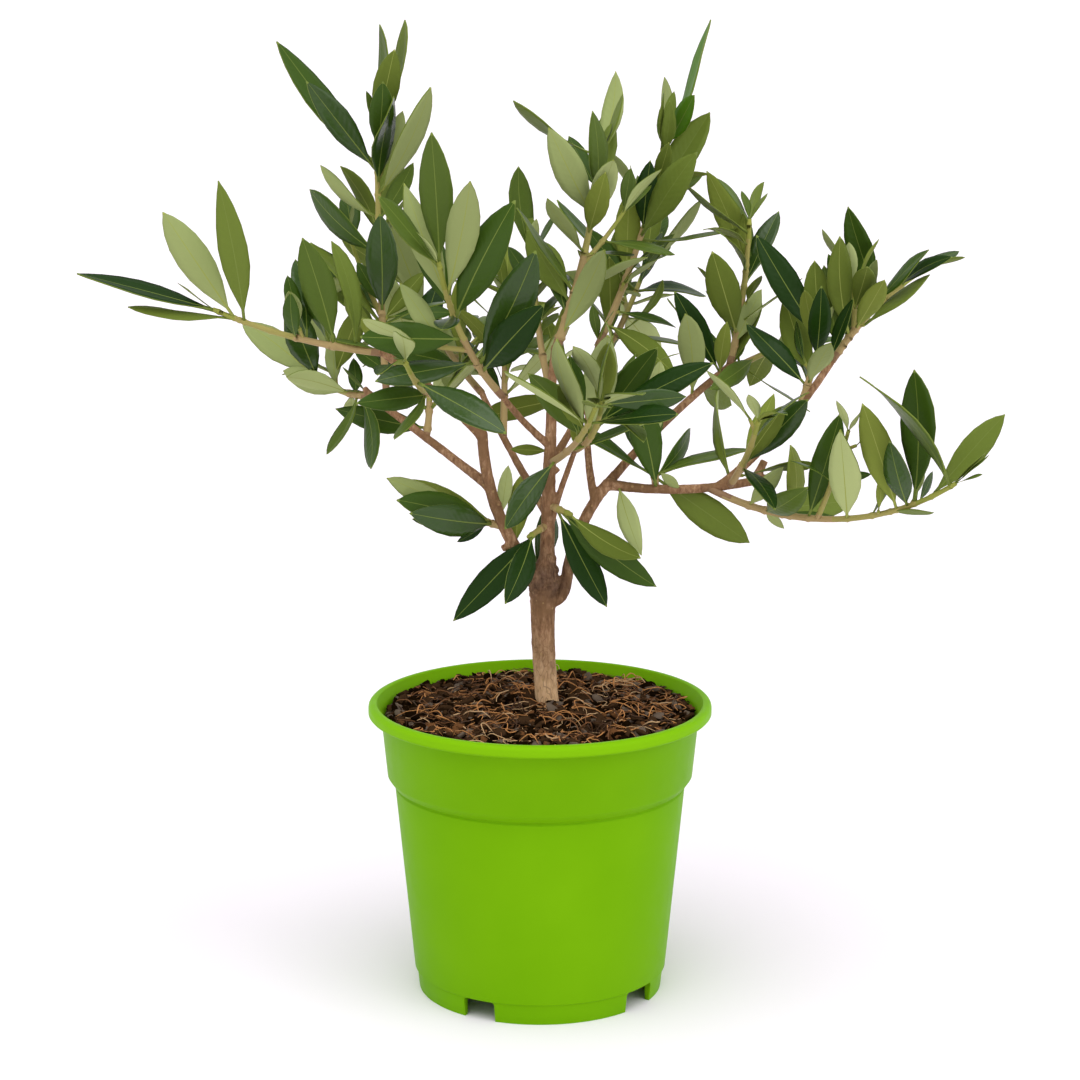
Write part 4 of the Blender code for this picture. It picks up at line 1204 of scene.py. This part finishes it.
def leaf_pairs(points, length, pairs, leaf, first, roll, rng):
    """Pairs of leaves, each pair a quarter turn round the stem from the last."""
    leaves = []
    for index in range(pairs):
        last = index == pairs - 1
        part = first + (1.0 - first) * index / max(1, pairs - 1)
        root, along = point_at(points, leaf_place(length * part, length))
        for side in (0.0, 180.0):
            around = roll + 90.0 * index + side + rng.uniform(-JITTER, JITTER)
            spread = math.radians(rng.uniform(*(TIP_SPREAD if last else SPREAD)))
            size = leaf * rng.uniform(*SIZES) * (TIP_SIZE if last else 1.0)
            bend = rng.uniform(*BEND)
            twist = rng.uniform(-TURN, TURN)
            tint = rng.random()
            way = branch_way(along, around, spread)
            face = along * 0.7 + UP * 0.6
            face = (face - way * face.dot(way)).normalized()
            face = Matrix.Rotation(math.radians(twist), 3, way) @ face
            leaves.append(Leaf(root, way, face, size, bend, tint))
    return leaves


def side_twigs(plan, points, rng):
    """The twigs that leave the stem, as limbs with their paths."""
    twigs = []
    for index in range(plan.twigs):
        part = 0.2 + 0.5 * (index + rng.random()) / plan.twigs
        start, along = point_at(points, plan.limb.length * part)
        around = plan.roll + rng.uniform(0, 360)
        spread = math.radians(rng.uniform(38, 58))
        length = plan.limb.length * rng.uniform(0.32, 0.48)
        way = branch_way(along, around, spread)
        heading = math.degrees(math.atan2(way.y, way.x))
        rise = math.degrees(math.asin(max(-1.0, min(1.0, way.z))))
        twig = Limb(plan.name, plan.name, 0, length, heading, rise, 0, 12, 0.85, 0.55)
        twigs.append((twig, limb_path(twig, start)))
    return twigs


print("pairs on a side twig:", TWIG_PAIRS)

# %% [markdown]
# ### Listed leaves, and how a leaf bends
# A listed leaf is told by its root, its way from root to tip and the turn of
# its upper side. Every leaf bends along one arc, so a chord and half the angle
# of the bend give any point of the blade, and its face there.


# %% Place the listed leaves and bend them
BROAD = Vector((0.0, -1.0, 0.0))  # the broad side of a listed leaf, before its turn


def outline_leaves(rows, points, length, rng):
    """Leaves whose place is given one by one: the row's way runs from root to tip."""
    leaves = []
    for at, heading, rise, size, turn, bend in rows:
        root = point_at(points, leaf_place(at, length))[0]
        way = heading_way(heading, rise)
        face = (BROAD - way * BROAD.dot(way)).normalized()
        face = Matrix.Rotation(math.radians(turn), 3, way) @ face
        half = math.radians(bend) / 2.0
        start = way * math.cos(half) + face * math.sin(half)
        face = face * math.cos(half) - way * math.sin(half)
        leaves.append(Leaf(root, start, face, size, bend, rng.random()))
    return leaves


def nudged(leaf, degrees):
    """The leaf turned to the front or the back round its root."""
    turn = Matrix.Rotation(math.radians(degrees), 3, leaf.way.cross(BROAD).normalized())
    return leaf._replace(way=turn @ leaf.way, face=turn @ leaf.face)


def leaf_points(leaf, part):
    """The middle of the blade at a part of its length, with its face there."""
    turned_by = math.radians(leaf.bend) * part
    half = turned_by / 2.0
    chord = leaf.length * part
    if abs(half) > 1e-6:
        chord *= math.sin(half) / half
    middle = leaf.root + (leaf.way * math.cos(half) - leaf.face * math.sin(half)) * chord
    face = leaf.face * math.cos(turned_by) + leaf.way * math.sin(turned_by)
    return middle, face


bent = Leaf(Vector(), heading_way(0.0, 0.0), UP, 40.0, 30.0, 0.0)
print("a 40 mm leaf bent by 30 degrees ends at", [round(v, 1) for v in leaf_points(bent, 1.0)[0]])

# %% [markdown]
# ### Room for each leaf
# No leaf may pass through another or through the wood. Each one is tested as a
# thin strip against all that stands: where it meets something it is turned a
# little to the front or the back, and left off if that doesn't help. The
# outline leaves come first, as they give the crown its look.

# %% Set the stems and the big leaves
LEAF_WIDTH = 0.32
LEAF_WIDEST = 16.0
TRUNK_RADIUS = 4.0
STOUT = 1.4  # the real stems are a little stouter than the solids'
STRIP = ((0.2, 0.40), (0.45, 0.95), (0.72, 0.88), (1.0, 0.05))  # parts of length and width
NUDGES = (0, 7, -7, 14, -14, 21, -21, 28, -28)  # degrees
strips = []


def strip_tree(leaf):
    """The blade's faces, to test what it meets."""
    side = leaf.way.cross(leaf.face).normalized()
    side *= min(leaf.length * LEAF_WIDTH, LEAF_WIDEST) / 2
    corners = []
    for part, width in STRIP:
        middle, _ = leaf_points(leaf, part)
        corners += [middle + side * width, middle - side * width]
    return BVHTree.FromPolygons(corners, [(0, 1, 3, 2), (2, 3, 5, 4), (4, 5, 7, 6)])


def tube_tree(path, radius):
    """The faces of a round limb, to test what meets it."""
    corners, faces = tube([tuple(point) for point in path], [radius] * len(path), 5)
    return BVHTree.FromPolygons(corners.tolist(), faces)


def set_leaf(leaf, turns=NUDGES):
    """The leaf as it has room to stand, or nothing."""
    for degrees in turns:
        tried = nudged(leaf, degrees)
        centre, _ = leaf_points(tried, 0.6)
        reach = leaf.length * 0.5
        tree = strip_tree(tried)
        near = [faces for other, far, faces in strips if (centre - other).length < reach + far]
        if not any(tree.overlap(faces) for faces in near + wood_trees):
            strips.append((centre, reach, tree))
            return tried
    return None


wood_trees = [tube_tree(paths["trunk"], TRUNK_RADIUS)]
wood_trees += [tube_tree(paths[limb.name], limb.base) for limb in BOUGHS]
stems = {}
twigs = {}
seeded = {}
for plan in SHOOTS:
    rng = random.Random(plan.seed)
    points = limb_path(plan.limb, point_at(paths[plan.limb.parent], plan.limb.at)[0])
    stems[plan.name] = points
    rows = leaf_pairs(points, plan.limb.length, plan.pairs, plan.leaf, STEM_FIRST, plan.roll, rng)
    twigs[plan.name] = side_twigs(plan, points, rng)
    for twig, path in twigs[plan.name]:
        rows += leaf_pairs(path, twig.length, TWIG_PAIRS, plan.leaf * TWIG_LEAF, TWIG_FIRST,
                           plan.roll, rng)
        wood_trees.append(tube_tree(path[4:], twig.base * STOUT))
    cut_off = PRUNED.get(plan.name, ())
    seeded[plan.name] = [leaf for index, leaf in enumerate(rows) if index not in cut_off]
    wood_trees.append(tube_tree(points, plan.limb.tip * STOUT))
# painted light and shade: low and inner shoots get darker leaf colours, top and outer shoots
# lighter ones; the colours also vary at random
PAINTED_SHADE_BY_SHOOT = full_names({  # from 0 dark to 1 light, where it isn't NO_SHADE
    "low_left": 0.0, "low_right": 0.0, "left_skirt": 0.0, "front": 0.0, "left_inner": 0.2,
    "right_fill": 0.1, "back_top": 0.2, "right_tip": 0.3, "top": 0.8, "left_tall": 0.7,
    "right_back": 0.7, "right_up": 0.7, "right_end": 0.9, "right_reach": 0.6,
})
NO_SHADE = 0.5
BRIGHT = 2.0
YOUNG_TIP = (FOLIAGE + "right_back", 85)  # past this distance its new leaves are bright
big_leaves = []
for table in (SEEN, MORE):
    for name, rows in table.items():
        points = stems.get(name) or paths[name]
        length = sum((b - a).length for a, b in zip(points, points[1:]))
        rng = random.Random(len(name) + len(rows))
        for row, leaf in zip(rows, outline_leaves(rows, points, length, rng)):
            bright = name == YOUNG_TIP[0] and row[0] >= YOUNG_TIP[1]
            shade = BRIGHT if bright else PAINTED_SHADE_BY_SHOOT.get(name, NO_SHADE)
            big_leaves.append(set_leaf(leaf._replace(shade=shade)))
print("outline leaves without room:", big_leaves.count(None))
for plan in SHOOTS:
    shade = PAINTED_SHADE_BY_SHOOT.get(plan.name, NO_SHADE)
    big_leaves += [set_leaf(leaf._replace(shade=shade)) for leaf in seeded[plan.name]]
big_leaves = [leaf for leaf in big_leaves if leaf]
print("big leaves:", len(big_leaves))

# %% [markdown]
# ### Finer growth
# Between the big leaves a real shoot carries short side growth: a bud or a
# twiglet in the angle of each leaf, with small leaves of its own, and a pair
# of young leaves at every tip. The same pair rule adds them. A small leaf stays
# in the shelter of the big ones, so the gaps of the crown stay open.

# %% Grow the finer twigs
FINE_SPACING = 13.0
FINE_LEAF = (0.50, 0.85)
FINE_TWIG = (2.5, 6.0)
TIP_LEAF = (12.0, 20.0)
SHELTER = 8.0  # a small leaf's tip lies this near to a big blade
LOWEST_FINE = 222.0  # no small growth below this height
DROOP = -0.25
BARE_BOUGH = 0.62  # the inner part of a bough carries no leaves
LEAFY_BOUGH = 40.0  # a shorter bough is bare all along
fine_leaves = []
fine_twigs = []
crown_low = Vector(cad_box[0]) / MM
crown_high = Vector(cad_box[1]) / MM
shelter = KDTree(len(big_leaves) * 4)
for index, leaf in enumerate(big_leaves):
    for step, part in enumerate((0.35, 0.55, 0.75, 0.92)):
        shelter.insert(leaf_points(leaf, part)[0], index * 4 + step)
shelter.balance()


def keep_fine(leaf, near):
    """Keep the small leaf if it has room inside the crown."""
    tip, _ = leaf_points(leaf, 1.0)
    if leaf.way.z < DROOP or tip.z < LOWEST_FINE or shelter.find(tip)[2] > near:
        return False
    if any(tip[i] < crown_low[i] or tip[i] > crown_high[i] for i in range(3)):
        return False
    kept = set_leaf(leaf, (0,))
    if kept:
        fine_leaves.append(kept)
    return bool(kept)


def fine_growth(points, length, leaf, roll, first, rng):
    """Twiglets with small leaves at even steps, and a young pair at the tip."""
    count = max(1, int((length - first) / FINE_SPACING))
    for index in range(count):
        at = first + (length - first) * (index + rng.uniform(0.2, 0.8)) / count
        start, along = point_at(points, at)
        for side in (0.0, 180.0):
            around = roll + 90.0 * index + 45.0 + side + rng.uniform(-25, 25)
            spread = math.radians(rng.uniform(35, 60))
            way = branch_way(along, around, spread)
            reach = rng.uniform(*FINE_TWIG)
            size = leaf * rng.uniform(*FINE_LEAF)
            tip = start + way * reach
            grown = leaf_pairs([start, tip], reach, 1, size, 1.0, roll + 90.0, rng)
            kept = [keep_fine(one._replace(root=tip, length=size), SHELTER) for one in grown]
            if any(kept):
                fine_twigs.append([start, start + way * reach * 0.5, tip])
    end, along = point_at(points, length - 0.5)
    for side in (0.0, 180.0):
        around = roll + side + rng.uniform(-30, 30)
        spread = math.radians(rng.uniform(10, 26))
        way = branch_way(along, around, spread)
        face = (UP + along * 0.4 - way * way.dot(UP + along * 0.4)).normalized()
        young = Leaf(end, way, face, rng.uniform(*TIP_LEAF), rng.uniform(-5, 20), rng.random())
        keep_fine(young, 2.0 * SHELTER)


for plan in SHOOTS:
    rng = random.Random(plan.seed + 1)
    fine_growth(stems[plan.name], plan.limb.length, plan.leaf, plan.roll, 6.0, rng)
    for twig, path in twigs[plan.name]:
        fine_growth(path, twig.length, plan.leaf * TWIG_LEAF, plan.roll, 5.0, rng)
for limb in BOUGHS:
    rng = random.Random(limb.heading + limb.at)
    if limb.length > LEAFY_BOUGH:
        fine_growth(paths[limb.name], limb.length, 40.0, 30.0, limb.length * BARE_BOUGH, rng)
print("small leaves:", len(fine_leaves), "on", len(fine_twigs), "twiglets")

# %% [markdown]
# ## Stems and twigs
# A young shoot is tan where it leaves the bough and green-yellow at its tip,
# with a slight swelling at each pair of leaves. The stems are tubes from
# arrays in one mesh. Their colours have a place, so each is a plain colour in
# a slot of its own, given to faces by how far along the shoot they lie.

# %% Make the stems
STEM_SIDES = 7
STEM_STEPS = 30
STEM_COLOURS = {
    "stem_brown": (0.270, 0.160, 0.085), "stem_tan": (0.390, 0.280, 0.120),
    "stem_olive": (0.340, 0.300, 0.085), "stem_green": (0.270, 0.290, 0.050),
}
shoots = Heap()


def lay_stem(points, length, base, tip, first_tone, last_tone, nodes, sides=STEM_SIDES):
    """A tapering stem that swells at its nodes, in tones from its base to its tip."""
    steps = max(4, min(STEM_STEPS, int(length / 2.0)))
    places = [length * i / steps for i in range(steps + 1)]
    places += [at + move for at in nodes for move in (-1.1, 0.0, 1.1) if 1.2 < at < length - 1.2]
    places.sort()
    path = [tuple(point_at(points, at)[0]) for at in places]
    radii = []
    for at in places:
        near = min([abs(at - node) for node in nodes], default=9.0)
        ringed = 1.0 + 0.30 * math.exp(-(near / 0.9) ** 2)
        radii.append(STOUT * (base + (tip - base) * at / length) * ringed)
    corners, faces = tube(path, radii, sides)
    tones = [round(first_tone + (last_tone - first_tone) * index / len(faces))
             for index in range(len(faces))]
    shoots.add(corners, faces, tones)


for plan in SHOOTS:
    limb = plan.limb
    nodes = [limb.length * (STEM_FIRST + (1 - STEM_FIRST) * i / max(1, plan.pairs - 1))
             for i in range(plan.pairs)] + [row[0] for row in SEEN.get(plan.name, ())]
    nodes = sorted(leaf_place(at, limb.length) for at in nodes)
    lay_stem(stems[plan.name], limb.length, limb.base, limb.tip, 0.4, 3.0, nodes)
    for twig, path in twigs[plan.name]:
        lay_stem(path, twig.length, twig.base, twig.tip, 1.4, 3.0, [twig.length * TWIG_FIRST])
for path in fine_twigs:
    length = (path[-1] - path[0]).length
    lay_stem(path, length, 0.62, 0.50, 1.6, 3.0, [], sides=5)
stem_finishes = plain_finishes(STEM_COLOURS, 0.6, 0.2, (1500.0, 0.5, 0.0002, 0.7))
leafy_stems = shoots.piece("leafy_stems", stem_finishes, "wood")
foliage_names = [plan.name for plan in SHOOTS]
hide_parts(*foliage_names)

# %% [markdown]
# ## One leaf
# An olive leaf is a long oval with a short stalk, a pale rib down the middle
# and a thin light margin. It is modelled once from a grid: each row of corners
# is moved to its place along the blade and scaled to the width there, the rib
# strip is narrowed, and Solidify gives the thin blade its underside and rim
# with slots of their own. Few faces are enough, as hundreds are laid.

# %% Model the leaf by hand
LEAF_THICK = 0.011
STALK = 0.11
MIDWAY = 0.6  # where the lengthwise edge between the rib and the margin runs
STATIONS = (  # part of the length, then the blade and the rib as parts of half the width
    (0.0, 0.085, 0.040), (STALK, 0.095, 0.048), (0.19, 0.34, 0.040), (0.30, 0.66, 0.034),
    (0.44, 0.92, 0.029), (0.58, 1.0, 0.025), (0.72, 0.92, 0.021), (0.84, 0.69, 0.017),
    (0.93, 0.38, 0.013), (0.978, 0.12, 0.010), (1.0, 0.03, 0.010),
)
MUCRO = 0.97  # the blade ends here in a small yellow point
ASIDE = 10.0  # rows that are done wait here, out of the way of the rest
STALK_ROUND = 2.2
UPPER, UNDER, RIM, RIB_TOP, RIB_UNDER, RIB_RIM = range(6)


def select_corners(piece, test):
    """Select the corners of the piece in edit mode that pass the test."""
    mesh = bmesh.from_edit_mesh(piece.data)
    for vert in mesh.verts:
        vert.select_set(test(vert.co))
    mesh.select_flush_mode()
    bmesh.update_edit_mesh(piece.data)


nothing_selected()
columns = len(STATIONS) - 1
bpy.ops.mesh.primitive_grid_add(x_subdivisions=columns, y_subdivisions=5, size=1.0)
leaf_piece = bpy.context.object
for _ in range(RIB_RIM + 1):
    leaf_piece.data.materials.append(None)
bpy.ops.object.mode_set(mode="EDIT")
bpy.context.tool_settings.mesh_select_mode = (True, False, False)
for index, (part, width, rib) in reversed(list(enumerate(STATIONS))):
    was = index / columns - 0.5
    for line, half in ((0.1, rib), (0.3, width * MIDWAY), (0.5, width)):
        bpy.ops.mesh.select_all(action="DESELECT")
        select_corners(leaf_piece, lambda co: abs(co.x - was) < 0.25 / columns
                       and abs(abs(co.y) - line) < 0.05)
        bpy.ops.transform.resize(value=(1.0, half / line, 1.0), center_override=(was, 0.0, 0.0))
        bpy.ops.transform.translate(value=(ASIDE + part - was, 0.0, 0.0))
bpy.ops.mesh.select_all(action="SELECT")
bpy.ops.transform.translate(value=(-ASIDE, 0.0, 0.0))
mesh = bmesh.from_edit_mesh(leaf_piece.data)
for face in mesh.faces:
    centre = face.calc_center_median()
    ribbed = abs(centre.y) < 1e-4 or centre.x < STALK or centre.x > MUCRO
    face.material_index = RIB_TOP if ribbed else UPPER
bmesh.update_edit_mesh(leaf_piece.data)
bpy.ops.object.mode_set(mode="OBJECT")
apply_modifier(leaf_piece, "SOLIDIFY", thickness=LEAF_THICK, offset=0.0, material_offset=1,
               material_offset_rim=2)
edit_all(leaf_piece)
select_corners(leaf_piece, lambda co: co.x < STALK + 0.01)
bpy.ops.transform.resize(value=(1.0, 1.0, STALK_ROUND), center_override=(0.0, 0.0, 0.0))
bpy.ops.object.mode_set(mode="OBJECT")
one_leaf, leaf_faces, leaf_marks = arrays_of(leaf_piece)
print("one leaf:", len(leaf_faces), "faces")

# %% [markdown]
# ### Colours of the leaves
# The upper side is dark and glossy, the underside pale and dull, and young
# leaves are yellower. Each leaf takes one plain colour for each side from a
# few, and its veins come from the blade's own flat coordinates, as a slight
# relief that runs from the rib to the margin.

# %% The finishes of the leaves
VEIN_SLANT = -1.1
VEIN_LINES = 2.0
LEAF_COLOURS = {  # colour, roughness, strength of the mirror light
    "leaf_deep_green": ((0.012, 0.038, 0.0030), 0.33, 0.12),
    "leaf_glossy_green": ((0.030, 0.068, 0.0080), 0.26, 0.36),
    "leaf_green": ((0.042, 0.086, 0.0080), 0.37, 0.13),
    "leaf_soft_green": ((0.080, 0.127, 0.0170), 0.42, 0.12),
    "leaf_young_green": ((0.135, 0.186, 0.0270), 0.46, 0.10),
    "leaf_bright_green": ((0.070, 0.175, 0.0060), 0.44, 0.10),
    "under_pale": ((0.400, 0.465, 0.185), 0.62, 0.06),
    "under_grey": ((0.290, 0.345, 0.125), 0.62, 0.06),
    "under_olive": ((0.190, 0.236, 0.038), 0.60, 0.06),
    "under_deep": ((0.128, 0.172, 0.026), 0.60, 0.06),
    "rib_yellow": ((0.165, 0.218, 0.040), 0.50, 0.12),
    "rib_pale": ((0.300, 0.340, 0.075), 0.55, 0.10),
    "leaf_margin": ((0.150, 0.200, 0.030), 0.50, 0.10),
}
TONES = list(LEAF_COLOURS)
leaf_finishes = []
for name, (colour, roughness, mirror) in LEAF_COLOURS.items():
    finish = new_finish(name, colour, roughness, mirror)
    work = Nodes(finish)
    flat = work.split(work.add("UVMap", uv_map="flat").outputs["UV"])
    slant = work.sum("MULTIPLY_ADD", work.sum("ABSOLUTE", flat["Y"]), VEIN_SLANT, flat["X"])
    veins = work.sum("SINE", work.sum("MULTIPLY", slant, VEIN_LINES))
    skin = work.noise(work.place(), 280.0, 3.0)
    work.shade(Normal=work.bump(skin, 0.0007, 0.25, work.bump(veins, 0.0003, 0.06)))
    leaf_finishes.append(finish)
print("leaf colours:", len(TONES))

# %% [markdown]
# ### Lay every leaf
# Each copy of the leaf is bent along its own arc, cupped a little across, and
# given a slight twist and wave, so no two catch the light alike. The cup and
# the twist come from the leaf's own tint number, so they repeat each run.

# %% Bend and lay the copies
BREADTH = (0.72, 1.04)
CUP = (-0.06, 0.42)
TWIST = 22.0
WAVE = 0.12
HOOK = (-13.0, 28.0)
POINT_FROM = 0.55  # past this part of its length a leaf hooks and may taper more
TAPER = 0.5
FULL_THICK = 50.0  # a longer leaf gets no thicker
UPPER_TONES = (  # each colour of the upper side, up to its share of the pick
    ("leaf_deep_green", 0.30), ("leaf_glossy_green", 0.39), ("leaf_green", 0.56),
    ("leaf_soft_green", 0.72), ("leaf_young_green", 1.0), ("leaf_bright_green", math.inf),
)
SOFT_PICK = 0.72  # a fresh leaf is no darker than this
UNDER_TONES = ("under_pale", "under_olive", "under_grey", "under_deep")


def lay_leaf(heap, leaf, fresh):
    """One bent copy of the leaf, in millimetres, with its colours."""
    rng = random.Random(int(leaf.tint * 1e6))
    half_width = min(leaf.length * LEAF_WIDTH, LEAF_WIDEST) / 2.0 * rng.uniform(*BREADTH)
    cup = rng.uniform(*CUP) * rng.random()
    twist = math.radians(rng.gauss(0.0, TWIST))
    wave = rng.uniform(-WAVE, WAVE)
    phase = rng.uniform(0.0, math.tau)
    hook = math.radians(rng.uniform(*HOOK))
    x, y, z = one_leaf.T
    past = np.clip(x - POINT_FROM, 0.0, 1.0)
    turned_by = math.radians(leaf.bend) * x + hook * past ** 1.5
    half = math.radians(leaf.bend) * x / 2.0
    chord = leaf.length * x * np.sinc(half / math.pi)
    way = np.array(leaf.way)
    face = np.array(leaf.face)
    side = np.cross(way, face)
    sag = leaf.length * hook * 0.4 * past ** 2.5
    middle = (np.array(leaf.root) + np.outer(chord * np.cos(half), way)
              - np.outer(chord * np.sin(half) + sag, face))
    up = np.outer(np.cos(turned_by), face) + np.outer(np.sin(turned_by), way)
    ramp = np.clip((x - STALK) / (1.0 - STALK), 0.0, 1.0)
    roll = (twist * ramp)[:, None]
    across = side * np.cos(roll) + up * np.sin(roll)
    up = up * np.cos(roll) - side * np.sin(roll)
    point = TAPER * (leaf.tint * 37.0 % 1.0)  # some leaves taper more than others
    y = y * (1.0 - point * past)
    spread = np.abs(y)
    ripple = wave * spread * np.sin(phase + math.tau * 1.2 * x)
    depth = z * min(leaf.length, FULL_THICK) + half_width * (cup * spread ** 1.4 + ripple)
    corners = middle + across * (y * half_width)[:, None] + up * depth[:, None]
    # the pick is random, pushed darker or lighter by the leaf's shade number: painted shade from
    # its shoot, or the bright colour of a young tip
    pick = 0.6 * rng.random() + 0.4 * leaf.shade
    if fresh and pick < SOFT_PICK:
        upper = "leaf_soft_green"
    else:
        upper = next(tone for tone, end in UPPER_TONES if pick < end)
    under = UNDER_TONES[int(rng.random() * len(UNDER_TONES))]
    tone = {UPPER: upper, UNDER: under, RIM: "leaf_margin", RIB_TOP: "rib_yellow",
            RIB_UNDER: "rib_pale", RIB_RIM: "rib_yellow"}
    slots = [TONES.index(tone[mark]) for mark in leaf_marks]
    flat = np.column_stack((x * leaf.length, y * half_width))
    heap.add(corners, leaf_faces, slots, flat)


big = Heap()
small = Heap()
for leaf in big_leaves:
    lay_leaf(big, leaf, False)
for leaf in fine_leaves:
    lay_leaf(small, leaf, leaf.length < TIP_LEAF[1])
olive_leaves = big.piece("olive_leaves", leaf_finishes, "leaf")
small.piece("young_leaves", leaf_finishes, "leaf")
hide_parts(*foliage_names)

# %% [markdown]
# ## The box of the solids
# The last cell prints the box of the solids.

# %% Measure and finish
print("solids' box", [tuple(round(v, 4) for v in corner) for corner in cad_box])
